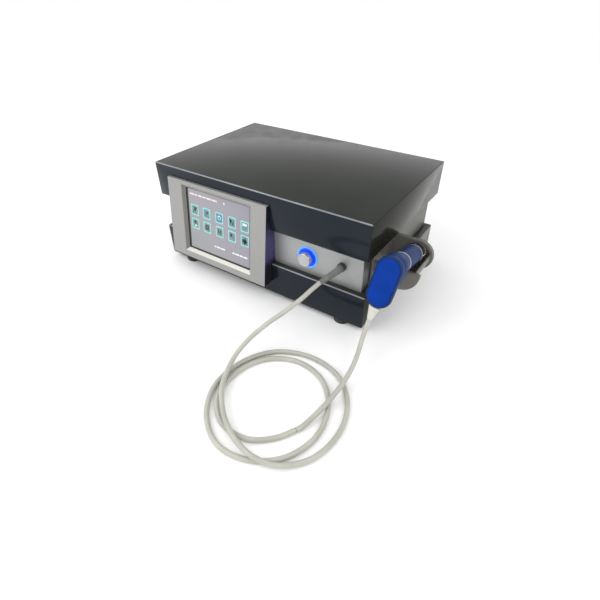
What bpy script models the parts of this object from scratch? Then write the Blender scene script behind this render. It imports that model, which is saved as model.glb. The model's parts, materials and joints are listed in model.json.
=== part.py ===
"""Ultrasound therapy device: a bench console of two black covers round a silver chassis, with a tilted
touch display, a lit control knob, a side holder, and a corded applicator that rests in the holder.

Everything is placed in the console's own frame: X from the middle of the console to its right side,
Y from the covers' front face to the back, Z up from the table. The empty console_frame moves that frame
so that the world origin is under the middle of the whole device. The applicator has a frame of its own,
with Y along its barrel and Z up its grip. Lengths are in metres and angles in degrees.
"""

import math

import bmesh
import bpy
from mathutils import Matrix, Vector
from mathutils.geometry import interpolate_bezier

# ---------------------------------------------------------------- driving dimensions
CONSOLE_WIDTH = 0.480
CONSOLE_DEPTH = 0.316
COVER_HEIGHT = 0.068
BAND_HEIGHT = 0.072
FOOT_HEIGHT = 0.010
COVER_WALL = 0.0025
SIDE_OVERHANG = 0.014
FRONT_OVERHANG = 0.013
REAR_OVERHANG = 0.008
PANEL = 0.003
SHEET = 0.0015
GAP = 0.0003
# The holder, the applicator and the cord reach past the console, so the whole device's middle is offset.
CONSOLE_SHIFT = Vector((-0.0348, -0.1416, 0.0))

# ---------------------------------------------------------------- levels and faces that follow
HALF_WIDTH = CONSOLE_WIDTH / 2
LOWER_BOTTOM = FOOT_HEIGHT
LOWER_TOP = LOWER_BOTTOM + COVER_HEIGHT
UPPER_BOTTOM = LOWER_TOP + BAND_HEIGHT
UPPER_TOP = UPPER_BOTTOM + COVER_HEIGHT
BAND_MIDDLE = (LOWER_TOP + UPPER_BOTTOM) / 2
SIDE_OUTER = HALF_WIDTH - SIDE_OVERHANG
SIDE_INNER = SIDE_OUTER - SHEET
FRONT_FACE = FRONT_OVERHANG
FRONT_INNER = FRONT_FACE + PANEL
REAR_FACE = CONSOLE_DEPTH - REAR_OVERHANG
REAR_INNER = REAR_FACE - PANEL
CHASSIS_LOW = LOWER_BOTTOM + COVER_WALL + GAP
CHASSIS_HIGH = UPPER_TOP - COVER_WALL - 0.0045
FLOOR_FACE = CHASSIS_LOW + SHEET

# Display: a wedge-shaped bezel that leans back, with its window set off to the right.
BEZEL_LEFT, BEZEL_RIGHT = -0.2025, 0.0430
BEZEL_LOW, BEZEL_HIGH = 0.0390, 0.1980
BEZEL_FOOT_Y, BEZEL_HEAD_Y = -0.0260, -0.0060
BEZEL_LEAN = math.degrees(math.atan2(BEZEL_HEAD_Y - BEZEL_FOOT_Y, BEZEL_HIGH - BEZEL_LOW))
BEZEL_WALL = 0.0025
LIP = 0.0065
WINDOW_X = (-0.1595, 0.0020)
WINDOW_V = (0.0190, 0.1475)
WINDOW_CHAMFER = 0.0070
GLASS_BORDER = 0.0045
GLASS, MODULE = 0.0018, 0.0080

# Control knob with its encoder.
KNOB_CENTRE = (0.1159, 0.1118)
KNOB_RADIUS, KNOB_FRONT, KNOB_BACK = 0.0132, -0.0012, 0.0102
LIGHT_RING_RADIUS = 0.0204
SHAFT_RADIUS = 0.0030

# Cable outlet, sleeve and cord.
OUTLET = (0.1870, 0.1178)
CORD_RADIUS = 0.0040

# Holder on the right side: a ring at the back, a rounded lobe in front and a trough between them.
RING_CENTRE, RING_FACES = (0.2794, 0.1199), (0.1160, 0.1240)
RING_RADIUS, RING_HOLE = 0.0286, 0.0213
LOBE_CENTRE, LOBE_FACES = (0.2765, 0.1232), (0.0440, 0.0520)
LOBE_RADIUS = 0.0352
HOLDER_FOOT = 0.0040
HOLDER_Y, HOLDER_Z = (0.0400, 0.1300), (0.0850, 0.1475)

# Applicator, with distances along the barrel measured from the cap's face.
CAP_CENTRE = Vector((0.2794, -0.0144, 0.1598))
BARREL_PITCH, GRIP_ROLL = 14.0, 8.4
GRIP_DROP = 0.0464
CAP_RADIUS = 0.0188
GRIP_RADIUS = 0.0222
BARREL_RADIUS = 0.0170
HEAD_RADIUS = 0.0122
BODY_END, BARREL_END, COLLAR_END, TIP = 0.0500, 0.1080, 0.1140, 0.1680
GRIP_MIDDLE = 0.0062
RELIEF_LENGTH = 0.0240

# Rear fittings.
INLET_X, INLET_Z = -0.1620, BAND_MIDDLE
FAN_CENTRE, FAN_HALF = (0.1450, BAND_MIDDLE), 0.0300

# Centreline of the cord: from the sleeve round two loops on the table, then up to the grip.
LOOP_ROUTE = [
    (0.1692, -0.0313, 0.1027), (0.1650, -0.0440, 0.0982), (0.1590, -0.0670, 0.0905),
    (0.1450, -0.0950, 0.0755), (0.1230, -0.1230, 0.0545), (0.1070, -0.1530, 0.0345),
    (0.1030, -0.1810, 0.0225), (0.1090, -0.2090, 0.0158), (0.1220, -0.2380, 0.0128),
    (0.1450, -0.2640, 0.0118), (0.1730, -0.2860, 0.0132), (0.2060, -0.3010, 0.0118),
    (0.2400, -0.3070, 0.0132), (0.2690, -0.2985, 0.0090), (0.2860, -0.2840, 0.0060),
    (0.2995, -0.2670, 0.0047), (0.3130, -0.2180, 0.0043), (0.3010, -0.1610, 0.0042),
    (0.2600, -0.1160, 0.0042), (0.1980, -0.1040, 0.0042), (0.1420, -0.1270, 0.0042),
    (0.1090, -0.1800, 0.0042), (0.1060, -0.2370, 0.0042), (0.1360, -0.2890, 0.0042),
    (0.1850, -0.3165, 0.0042), (0.2310, -0.3110, 0.0042), (0.2700, -0.2820, 0.0042),
    (0.2890, -0.2310, 0.0042), (0.2760, -0.1750, 0.0042), (0.2370, -0.1340, 0.0042),
    (0.1850, -0.1250, 0.0042), (0.1370, -0.1520, 0.0042), (0.1170, -0.2040, 0.0042),
    (0.1270, -0.2560, 0.0042), (0.1640, -0.2860, 0.0042), (0.2110, -0.2860, 0.0042),
    (0.2450, -0.2600, 0.0042), (0.2590, -0.2370, 0.0042),
]
RISER_ROUTE = [
    (0.25950, -0.23620, 0.00420), (0.26220, -0.23150, 0.00460), (0.26800, -0.21200, 0.00720),
    (0.27350, -0.18600, 0.01170), (0.27650, -0.15600, 0.01500), (0.27700, -0.12600, 0.01770),
    (0.27520, -0.10000, 0.02210), (0.27160, -0.07800, 0.02770), (0.26850, -0.06420, 0.03200),
    (0.26585, -0.05331, 0.03698), (0.26451, -0.04451, 0.04381), (0.26419, -0.03744, 0.05250),
    (0.26474, -0.03306, 0.06104), (0.26581, -0.03064, 0.06903),
]
LOOP_POINTS, RISER_POINTS = 62, 14
SQUARE_END = 0.0025


# ---------------------------------------------------------------- scene and helpers
def clear_scene():
    for thing in list(bpy.data.objects):
        bpy.data.objects.remove(thing, do_unlink=True)


def make_empty(name, location, parent=None, rotation=None):
    """A frame for other objects, moved to location and then turned by rotation."""
    empty = bpy.data.objects.new(name, None)
    bpy.context.scene.collection.objects.link(empty)
    empty.parent = parent
    empty.matrix_basis = Matrix.Translation(location) @ (rotation or Matrix.Identity(4))
    return empty


def make_material(name, colour, roughness, metallic=0.0):
    material = bpy.data.materials.new(name)
    material.use_nodes = True
    shader = material.node_tree.nodes["Principled BSDF"]
    shader.inputs["Base Color"].default_value = (*colour, 1.0)
    shader.inputs["Roughness"].default_value = roughness
    shader.inputs["Metallic"].default_value = metallic
    return material


def add_object(name, data, material, frame):
    """Links an object under a frame. One with no material is a cutter or a helper, which isn't rendered."""
    thing = bpy.data.objects.new(name, data)
    bpy.context.scene.collection.objects.link(thing)
    thing.parent = frame
    if material:
        data.materials.append(material)
    else:
        thing.hide_render = True
        thing.display_type = "WIRE"
    return thing


def finish_mesh(bm, name, material, frame):
    bmesh.ops.recalc_face_normals(bm, faces=bm.faces)
    mesh = bpy.data.meshes.new(name)
    bm.to_mesh(mesh)
    bm.free()
    mesh.shade_smooth()
    mesh.set_sharp_from_angle(angle=math.radians(35))
    return add_object(name, mesh, material, frame)


def add_box(bm, low, high):
    made = bmesh.ops.create_cube(bm, size=1.0)
    middle = (Vector(low) + Vector(high)) / 2
    size = Vector(high) - Vector(low)
    for vertex in made["verts"]:
        vertex.co = middle + vertex.co * size


def block(name, low, high, material, frame, rounding=0.0, steps=1):
    """A box between two corners, with rounded edges where a rounding is given."""
    bm = bmesh.new()
    add_box(bm, low, high)
    if rounding:
        bmesh.ops.bevel(bm, geom=list(bm.edges), offset=rounding, segments=steps,
                        affect="EDGES", profile=0.5)
    return finish_mesh(bm, name, material, frame)


def blocks_helper(name, corner_pairs, frame):
    """Several separate boxes in one hidden helper, for a Boolean."""
    bm = bmesh.new()
    for low, high in corner_pairs:
        add_box(bm, low, high)
    return finish_mesh(bm, name, None, frame)


def on_axis(axis, a, b, along):
    """The point with coordinates a and b across an axis, and a distance along it."""
    return {"X": (along, a, b), "Y": (a, along, b), "Z": (a, b, along)}[axis]


def add_prism(bm, outline, axis, start, end):
    caps = [[bm.verts.new(on_axis(axis, a, b, at)) for a, b in outline] for at in (start, end)]
    bm.faces.new(caps[0])
    bm.faces.new(caps[1])
    for i, corner in enumerate(caps[0]):
        j = (i + 1) % len(outline)
        bm.faces.new((corner, caps[0][j], caps[1][j], caps[1][i]))


def prism(name, outline, axis, start, end, material, frame):
    """An outline, given across an axis, extruded along it."""
    bm = bmesh.new()
    add_prism(bm, outline, axis, start, end)
    return finish_mesh(bm, name, material, frame)


def arc(centre, radius, first, last, steps):
    """Points along an arc from one angle to another, both included."""
    angles = [math.radians(first + (last - first) * i / steps) for i in range(steps + 1)]
    return [(centre[0] + radius * math.cos(t), centre[1] + radius * math.sin(t)) for t in angles]


def circle(centre, radius, sides):
    return arc(centre, radius, 0, 360 - 360 / sides, sides - 1)


def add_turned(bm, profile, centre, axis, sides):
    """A solid of revolution about the axis through centre. The profile is a closed loop of
    (radius, distance along) points, where radius 0 is a single point on the axis."""
    rings = []
    for radius, along in profile:
        outline = circle(centre, radius, sides) if radius else [centre]
        rings.append([bm.verts.new(on_axis(axis, a, b, along)) for a, b in outline])
    for one, two in zip(rings, rings[1:] + rings[:1]):
        if len(one) == 1 and len(two) == 1:
            continue
        for i in range(sides):
            j = (i + 1) % sides
            if len(one) == 1:
                bm.faces.new((one[0], two[i], two[j]))
            elif len(two) == 1:
                bm.faces.new((one[i], one[j], two[0]))
            else:
                bm.faces.new((one[i], one[j], two[j], two[i]))


def turned(name, profile, centre, axis, material, frame, sides=24):
    bm = bmesh.new()
    add_turned(bm, profile, centre, axis, sides)
    return finish_mesh(bm, name, material, frame)


def turned_set(name, profile, places, axis, material, frame, sides=24):
    """Identical turned pieces, numbered from 1, which share one mesh."""
    first = turned(name + "_1", profile, (0, 0), axis, material, frame, sides)
    first.location = on_axis(axis, *places[0], 0)
    for number, place in enumerate(places[1:], start=2):
        copy = bpy.data.objects.new(f"{name}_{number}", first.data)
        bpy.context.scene.collection.objects.link(copy)
        copy.parent = frame
        copy.location = on_axis(axis, *place, 0)


def turned_helper(name, profile, places, axis, frame, sides):
    """Several turned shapes in one hidden helper, for a Boolean."""
    bm = bmesh.new()
    for place in places:
        add_turned(bm, profile, place, axis, sides)
    return finish_mesh(bm, name, None, frame)


def disc(radius, start, end):
    return [(0, start), (radius, start), (radius, end), (0, end)]


def tube(outer, inner, start, end):
    return [(outer, start), (outer, end), (inner, end), (inner, start)]


def screw(head_radius, head_height, shank_radius, length, face, direction):
    """Profile of a screw whose head stands on a face and whose shank goes the other way.
    direction is +1 where the head is on the face's positive side."""
    top = face + direction * head_height
    rim = face + direction * head_height * 0.45
    end = face - direction * length
    return [(0, top), (head_radius * 0.7, top), (head_radius, rim), (head_radius, face),
            (shank_radius, face), (shank_radius, end), (0, end)]


def loft(name, rings, material, frame, closed_loop=False):
    """A skin over rings of equally many points. It ends in two caps, or runs on from the last ring to the
    first where closed_loop makes it a thick-walled shell."""
    bm = bmesh.new()
    made = [[bm.verts.new(point) for point in ring] for ring in rings]
    pairs = list(zip(made, made[1:]))
    if closed_loop:
        pairs.append((made[-1], made[0]))
    else:
        bm.faces.new(made[0])
        bm.faces.new(made[-1])
    for one, two in pairs:
        for i, corner in enumerate(one):
            j = (i + 1) % len(one)
            bm.faces.new((corner, one[j], two[j], two[i]))
    return finish_mesh(bm, name, material, frame)


def swept(name, path, radii, material, frame, sides=12):
    """A round bar along a path, with its own radius at each point."""
    points = [Vector(point) for point in path]
    side = Vector((1, 0, 0))
    rings = []
    for i, point in enumerate(points):
        ahead = (points[min(i + 1, len(points) - 1)] - points[max(i - 1, 0)]).normalized()
        side = (side - ahead * side.dot(ahead)).normalized()
        other = ahead.cross(side)
        turns = [2 * math.pi * k / sides for k in range(sides)]
        rings.append([point + radii[i] * (math.cos(t) * side + math.sin(t) * other) for t in turns])
    return loft(name, rings, material, frame)


def smooth_line(route, count, square_end=0.0):
    """Evenly spaced points on the smooth curve through a route's points. Where square_end is set, one more
    point lies that far from each end, so that a tube's end faces are square to the curve."""
    points = [Vector(point) for point in route]
    spans = [(b - a).length for a, b in zip(points, points[1:])]
    slopes = [(b - a) / span for a, b, span in zip(points, points[1:], spans)]
    tangents = [slopes[0]]
    for i in range(1, len(slopes)):
        tangents.append((slopes[i - 1] * spans[i] + slopes[i] * spans[i - 1]) / (spans[i - 1] + spans[i]))
    tangents.append(slopes[-1])
    fine = [points[0]]
    for i, span in enumerate(spans):
        handles = (points[i] + tangents[i] * span / 3, points[i + 1] - tangents[i + 1] * span / 3)
        fine += interpolate_bezier(points[i], *handles, points[i + 1], 24)[1:]
    travelled = [0.0]
    for a, b in zip(fine, fine[1:]):
        travelled.append(travelled[-1] + (b - a).length)
    total = travelled[-1]
    targets = [total * i / (count - 1) for i in range(count)]
    if square_end:
        targets = sorted([*targets, square_end, total - square_end])
    line = []
    at = 0
    for target in targets:
        while at < len(fine) - 2 and travelled[at + 1] < target:
            at += 1
        part = (target - travelled[at]) / (travelled[at + 1] - travelled[at])
        line.append(fine[at].lerp(fine[at + 1], min(part, 1.0)))
    return line


def cord(name, route, count, material, frame):
    """A round cord as a curve with a round section and closed ends."""
    line = smooth_line(route, count, SQUARE_END)
    curve = bpy.data.curves.new(name, "CURVE")
    curve.dimensions = "3D"
    curve.bevel_depth = CORD_RADIUS
    curve.bevel_resolution = 2
    curve.use_fill_caps = True
    spline = curve.splines.new("POLY")
    spline.points.add(len(line) - 1)
    for point, place in zip(spline.points, line):
        point.co = (*place, 1.0)
    return add_object(name, curve, material, frame)


def combine(target, other, operation):
    change = target.modifiers.new(other.name, "BOOLEAN")
    change.operation = operation
    change.solver = "EXACT"
    change.object = other


def cut_box(targets, name, low, high, frame):
    cutter = block(name, low, high, None, frame)
    for target in targets:
        combine(target, cutter, "DIFFERENCE")


def drill(targets, name, centres, axis, radius, start, end, frame, sides=12):
    cutter = turned_helper(name, disc(radius, start, end), centres, axis, frame, sides)
    for target in targets:
        combine(target, cutter, "DIFFERENCE")


def corners(half_x, half_other, centre=(0.0, 0.0)):
    """The four points at a rectangle's corners."""
    return [(centre[0] + i * half_x, centre[1] + j * half_other) for i in (-1, 1) for j in (-1, 1)]


# ---------------------------------------------------------------- frames and materials
clear_scene()
console = make_empty("console_frame", CONSOLE_SHIFT)
display = make_empty("display_frame", (0.0, BEZEL_FOOT_Y, BEZEL_LOW), console,
                     Matrix.Rotation(math.radians(-BEZEL_LEAN), 4, "X"))
applicator = make_empty("applicator_frame", CAP_CENTRE, console,
                        Matrix.Rotation(math.radians(-BARREL_PITCH), 4, "X")
                        @ Matrix.Rotation(math.radians(GRIP_ROLL), 4, "Y"))

GLOSS_BLACK = make_material("gloss_black_plastic", (0.018, 0.021, 0.027), 0.12)
SILVER = make_material("brushed_silver", (0.56, 0.57, 0.58), 0.34, 0.9)
SATIN_SILVER = make_material("satin_silver_paint", (0.50, 0.51, 0.53), 0.30, 0.6)
STEEL = make_material("zinc_steel", (0.42, 0.43, 0.44), 0.35, 1.0)
SCREW_STEEL = make_material("screw_steel", (0.30, 0.30, 0.31), 0.30, 1.0)
RUBBER = make_material("black_rubber", (0.02, 0.02, 0.02), 0.80)
GLASS_PANE = make_material("screen_glass", (0.36, 0.35, 0.42), 0.08)
DARK_PLASTIC = make_material("dark_plastic", (0.03, 0.03, 0.032), 0.45)
TAUPE = make_material("taupe_plastic", (0.16, 0.15, 0.135), 0.42)
BLUE = make_material("blue_plastic", (0.012, 0.090, 0.420), 0.25)
GREY_BLUE = make_material("blue_grip_plastic", (0.035, 0.080, 0.260), 0.35)
PALE_PLASTIC = make_material("pale_plastic", (0.62, 0.61, 0.56), 0.45)
SLEEVE_RUBBER = make_material("grey_rubber", (0.16, 0.16, 0.165), 0.60)
CORD_JACKET = make_material("cord_jacket", (0.55, 0.54, 0.48), 0.50)
LIGHT_BLUE = make_material("blue_light_guide", (0.05, 0.25, 0.95), 0.30)
BOARD = make_material("circuit_board", (0.02, 0.16, 0.07), 0.45)
COPPER = make_material("copper_winding", (0.60, 0.26, 0.10), 0.35, 0.9)
CERAMIC = make_material("piezo_ceramic", (0.62, 0.55, 0.42), 0.50)
BRASS = make_material("brass", (0.70, 0.50, 0.20), 0.30, 1.0)
FUSE_GLASS = make_material("fuse_glass", (0.75, 0.78, 0.80), 0.10)
WIRE = make_material("wire_jacket", (0.35, 0.03, 0.02), 0.50)


# ---------------------------------------------------------------- covers, feet and their screws
FOOT_RADIUS = 0.0165
FOOT_PLACES = corners(0.1920, CONSOLE_DEPTH / 2 - FOOT_RADIUS, (0.0, CONSOLE_DEPTH / 2))
LOWER_SCREWS = [(-0.1900, LOWER_BOTTOM + 0.030), (0.1900, LOWER_BOTTOM + 0.030)]
UPPER_SCREWS = [(-0.1900, UPPER_TOP - 0.030), (0.1900, UPPER_TOP - 0.030)]


def make_cover(name, low, high, mouth, notch):
    """A shell with a flange round its mouth, through which the chassis passes, and a notch in front for the
    bezel. mouth and notch are heights from and to."""
    cover = block(name, (-HALF_WIDTH, 0, low), (HALF_WIDTH, CONSOLE_DEPTH, high),
                  GLOSS_BLACK, console, rounding=0.0018, steps=2)
    inner = HALF_WIDTH - COVER_WALL
    cut_box([cover], name + "_hollow", (-inner, COVER_WALL, low + COVER_WALL),
            (inner, CONSOLE_DEPTH - COVER_WALL, high - COVER_WALL), console)
    opening = SIDE_OUTER + GAP
    cut_box([cover], name + "_mouth", (-opening, FRONT_FACE - GAP, mouth[0]),
            (opening, REAR_FACE + GAP, mouth[1]), console)
    cut_box([cover], name + "_notch", (BEZEL_LEFT - GAP, -0.010, notch[0]),
            (BEZEL_RIGHT + GAP, FRONT_FACE + 0.0005, notch[1]), console)
    return cover


def make_covers():
    lower = make_cover("lower_cover", LOWER_BOTTOM, LOWER_TOP, (LOWER_TOP - 0.005, LOWER_TOP + 0.010),
                       (BEZEL_LOW - GAP, LOWER_TOP + 0.010))
    upper = make_cover("top_cover", UPPER_BOTTOM, UPPER_TOP, (UPPER_BOTTOM - 0.010, UPPER_BOTTOM + 0.005),
                       (UPPER_BOTTOM - 0.010, BEZEL_HIGH + GAP))
    for cover, places in ((lower, LOWER_SCREWS), (upper, UPPER_SCREWS)):
        drill([cover], cover.name + "_screw_holes", places, "Y", 0.0019,
              CONSOLE_DEPTH - 0.006, CONSOLE_DEPTH + 0.010, console)
    turned_set("cover_screw", screw(0.0032, 0.0020, 0.0015, 0.0140, CONSOLE_DEPTH + GAP, 1),
               LOWER_SCREWS + UPPER_SCREWS, "Y", SCREW_STEEL, console, sides=10)


def make_feet():
    """Self-adhesive rubber feet, set right out at the front and rear edges."""
    profile = [(0, LOWER_BOTTOM - GAP), (FOOT_RADIUS, LOWER_BOTTOM - GAP), (FOOT_RADIUS, 0.0012),
               (FOOT_RADIUS - 0.0010, 0.0), (0, 0.0)]
    turned_set("foot", profile, FOOT_PLACES, "Z", RUBBER, console, sides=32)


# ---------------------------------------------------------------- chassis
HOLDER_SCREWS = corners(0.0260, 0.0250, (sum(HOLDER_Y) / 2, sum(HOLDER_Z) / 2))
REAR_SCREWS = [(x, z) for x in (-0.2150, -0.0300, 0.2150) for z in (LOWER_TOP + 0.006, UPPER_BOTTOM - 0.006)]
FAN_SCREWS = corners(0.0250, 0.0250, FAN_CENTRE)
SUPPLY_LOW, SUPPLY_HIGH = (-0.2050, 0.1700), (-0.0850, 0.2650)
SUPPLY_HEIGHT = 0.0400
BOARD_X, BOARD_Y = (-0.0300, 0.1650), (0.0600, 0.2300)
BOARD_LOW = FLOOR_FACE + 0.0100
BOARD_THICK = 0.0016
STANDOFF_PLACES = corners(0.0900, 0.0780, (sum(BOARD_X) / 2, sum(BOARD_Y) / 2))
RIBBON_X, RIBBON_Z = (-0.0900, -0.0580), (0.1190, 0.1202)
PANEL_BOARD_X, PANEL_BOARD_Z = (-0.1700, -0.0100), (0.0400, 0.1700)
PANEL_BOARD_Y = FRONT_INNER + 0.0080
PANEL_STANDOFFS = corners(0.0720, 0.0580, (sum(PANEL_BOARD_X) / 2, sum(PANEL_BOARD_Z) / 2))
BUZZER_PLACE = (0.1150, 0.1700)
GROUND_STUD = (-0.2000, 0.2850)
VENT_PLACES = [-0.1050 + 0.0110 * i for i in range(12)]
VENT_WIDTH, VENT_HEIGHT = 0.0040, 0.0440


def make_chassis():
    side = SIDE_INNER - GAP
    front, rear = FRONT_INNER + GAP, REAR_INNER - GAP
    base = block("chassis_base", (-side, front, CHASSIS_LOW), (side, rear, FLOOR_FACE), STEEL, console)
    combine(base, turned_helper("base_standoffs", disc(0.0028, CHASSIS_LOW + 0.0005, BOARD_LOW - GAP),
                                STANDOFF_PLACES, "Z", console, 6), "UNION")
    block("chassis_lid", (-side, front, CHASSIS_HIGH - SHEET), (side, rear, CHASSIS_HIGH), STEEL, console)
    for name, inner, outer in (("side_panel_left", -SIDE_INNER, -SIDE_OUTER),
                               ("side_panel_right", SIDE_INNER, SIDE_OUTER)):
        panel = block(name, (min(inner, outer), front, CHASSIS_LOW), (max(inner, outer), rear, CHASSIS_HIGH),
                      SATIN_SILVER, console)
        if outer > 0:
            drill([panel], "side_holder_holes", HOLDER_SCREWS, "X", 0.0018, 0.210, 0.240, console)
    make_front_panel()
    make_rear_panel()


def make_front_panel():
    panel = block("front_panel", (-SIDE_OUTER, FRONT_FACE, CHASSIS_LOW),
                  (SIDE_OUTER, FRONT_INNER, CHASSIS_HIGH), SILVER, console)
    combine(panel, turned_helper("panel_standoffs", disc(0.0028, FRONT_FACE + 0.0010, PANEL_BOARD_Y - GAP),
                                 PANEL_STANDOFFS, "Y", console, 6), "UNION")
    drill([panel], "panel_knob_hole", [KNOB_CENTRE], "Y", 0.0154, 0.0, 0.030, console, sides=24)
    drill([panel], "panel_outlet_hole", [OUTLET], "Y", 0.0063, 0.0, 0.030, console, sides=16)
    cut_box([panel], "panel_ribbon_slot", (RIBBON_X[0] - 0.003, 0.0, RIBBON_Z[0] - 0.003),
            (RIBBON_X[1] + 0.003, 0.030, RIBBON_Z[1] + 0.003), console)


def make_rear_panel():
    panel = block("rear_panel", (-SIDE_OUTER, REAR_INNER, CHASSIS_LOW),
                  (SIDE_OUTER, REAR_FACE, CHASSIS_HIGH), SATIN_SILVER, console)
    before, after = REAR_INNER - 0.010, REAR_FACE + 0.010
    drill([panel], "rear_fan_hole", [FAN_CENTRE], "Y", 0.0285, before, after, console, sides=32)
    drill([panel], "rear_fan_screw_holes", FAN_SCREWS, "Y", 0.0018, before, after, console, sides=8)
    drill([panel], "rear_screw_holes", REAR_SCREWS + LOWER_SCREWS + UPPER_SCREWS, "Y", 0.0018, before, after,
          console, sides=8)
    cut_box([panel], "rear_inlet_hole", (INLET_X - INLET_HALF_X - GAP, before, INLET_Z - INLET_HALF_Z - GAP),
            (INLET_X + INLET_HALF_X + GAP, after, INLET_Z + INLET_HALF_Z + GAP), console)
    low, high = BAND_MIDDLE - VENT_HEIGHT / 2, BAND_MIDDLE + VENT_HEIGHT / 2
    slots = [((x, before, low), (x + VENT_WIDTH, after, high)) for x in VENT_PLACES]
    combine(panel, blocks_helper("rear_vent_slots", slots, console), "DIFFERENCE")


# ---------------------------------------------------------------- display
def make_display():
    outline = [(BEZEL_FOOT_Y, BEZEL_LOW), (BEZEL_HEAD_Y, BEZEL_HIGH),
               (FRONT_FACE - GAP, BEZEL_HIGH), (FRONT_FACE - GAP, BEZEL_LOW)]
    bezel = prism("display_bezel", outline, "X", BEZEL_LEFT, BEZEL_RIGHT, SILVER, console)
    rise = LIP / math.cos(math.radians(BEZEL_LEAN))
    slope = (BEZEL_HEAD_Y - BEZEL_FOOT_Y) / (BEZEL_HIGH - BEZEL_LOW)
    low, high = BEZEL_LOW + BEZEL_WALL, BEZEL_HIGH - BEZEL_WALL
    hollow = [(BEZEL_FOOT_Y + slope * BEZEL_WALL + rise, low),
              (BEZEL_HEAD_Y - slope * BEZEL_WALL + rise, high), (0.0200, high), (0.0200, low)]
    combine(bezel, prism("bezel_hollow", hollow, "X", BEZEL_LEFT + BEZEL_WALL, BEZEL_RIGHT - BEZEL_WALL,
                         None, console), "DIFFERENCE")
    window = []
    for depth, spread in ((-0.0010, WINDOW_CHAMFER), (LIP - 0.0008, 0.0), (LIP + 0.0015, 0.0)):
        left, right = WINDOW_X[0] - spread, WINDOW_X[1] + spread
        foot, head = WINDOW_V[0] - spread, WINDOW_V[1] + spread
        window.append([(left, depth, foot), (right, depth, foot), (right, depth, head), (left, depth, head)])
    combine(bezel, loft("bezel_window", window, None, display), "DIFFERENCE")
    glass_at = LIP + GAP
    module_at = glass_at + GLASS + GAP
    border = GLASS_BORDER
    block("touch_panel", (WINDOW_X[0] - border, glass_at, WINDOW_V[0] - border),
          (WINDOW_X[1] + border, glass_at + GLASS, WINDOW_V[1] + border), GLASS_PANE, display)
    block("display_module", (WINDOW_X[0] - border, module_at, WINDOW_V[0] - border),
          (WINDOW_X[1] + border, module_at + MODULE, WINDOW_V[1] + border), STEEL, display)
    block("display_ribbon", (RIBBON_X[0], 0.0018, RIBBON_Z[0]),
          (RIBBON_X[1], PANEL_BOARD_Y - GAP, RIBBON_Z[1]), PALE_PLASTIC, console)
    board = block("control_board", (PANEL_BOARD_X[0], PANEL_BOARD_Y, PANEL_BOARD_Z[0]),
                  (PANEL_BOARD_X[1], PANEL_BOARD_Y + BOARD_THICK, PANEL_BOARD_Z[1]), BOARD, console)
    places = [((-0.1100, 0.0800), (-0.0800, 0.1100)), ((-0.0600, 0.0600), (-0.0350, 0.0850)),
              ((-0.1550, 0.1250), (-0.1300, 0.1400)), ((-0.1000, 0.1450), (-0.0300, 0.1550))]
    low, high = PANEL_BOARD_Y + 0.0005, PANEL_BOARD_Y + 0.0050
    chips = [((left, low, foot), (right, high, head)) for (left, foot), (right, head) in places]
    combine(board, blocks_helper("control_chips", chips, console), "UNION")
    turned("buzzer", disc(0.0110, FRONT_INNER + GAP, FRONT_INNER + 0.0095), BUZZER_PLACE, "Y",
           DARK_PLASTIC, console, sides=20)


# ---------------------------------------------------------------- knob and encoder
ENCODER_FACE = 0.0200
ENCODER_DEPTH = 0.0100


def make_knob():
    seat = FRONT_FACE - GAP
    outer, spigot, bore, end = LIGHT_RING_RADIUS, 0.0150, 0.0080, FRONT_INNER + 0.0030
    ring = [(outer, seat), (outer, seat - 0.0008), (outer - 0.0008, seat - 0.0014), (bore, seat - 0.0014),
            (bore, end), (spigot, end), (spigot, seat)]
    turned("light_ring", ring, KNOB_CENTRE, "Y", LIGHT_BLUE, console, sides=32)
    bore, bore_end = SHAFT_RADIUS + GAP, 0.0022
    cap = [(0, KNOB_FRONT), (KNOB_RADIUS - 0.0014, KNOB_FRONT), (KNOB_RADIUS, KNOB_FRONT + 0.0014),
           (KNOB_RADIUS, KNOB_BACK), (bore, KNOB_BACK), (bore, bore_end), (0, bore_end)]
    turned("control_knob", cap, KNOB_CENTRE, "Y", SILVER, console, sides=32)
    shaft_end = ENCODER_FACE + 0.0030
    turned("encoder_shaft", disc(SHAFT_RADIUS, bore_end + GAP, shaft_end), KNOB_CENTRE, "Y", STEEL, console)
    plunger = [(0, shaft_end + GAP), (0.0022, shaft_end + GAP), (0.0022, ENCODER_FACE + 0.0075),
               (0, ENCODER_FACE + 0.0075)]
    turned("encoder_plunger", plunger, KNOB_CENTRE, "Y", PALE_PLASTIC, console, sides=12)
    half = 0.0068
    body = block("encoder_body", (KNOB_CENTRE[0] - half, ENCODER_FACE, KNOB_CENTRE[1] - half),
                 (KNOB_CENTRE[0] + half, ENCODER_FACE + ENCODER_DEPTH, KNOB_CENTRE[1] + half), STEEL, console)
    drill([body], "encoder_bore", [KNOB_CENTRE], "Y", SHAFT_RADIUS + 0.0004, ENCODER_FACE - 0.005,
          ENCODER_FACE + 0.0088, console, sides=24)


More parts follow.
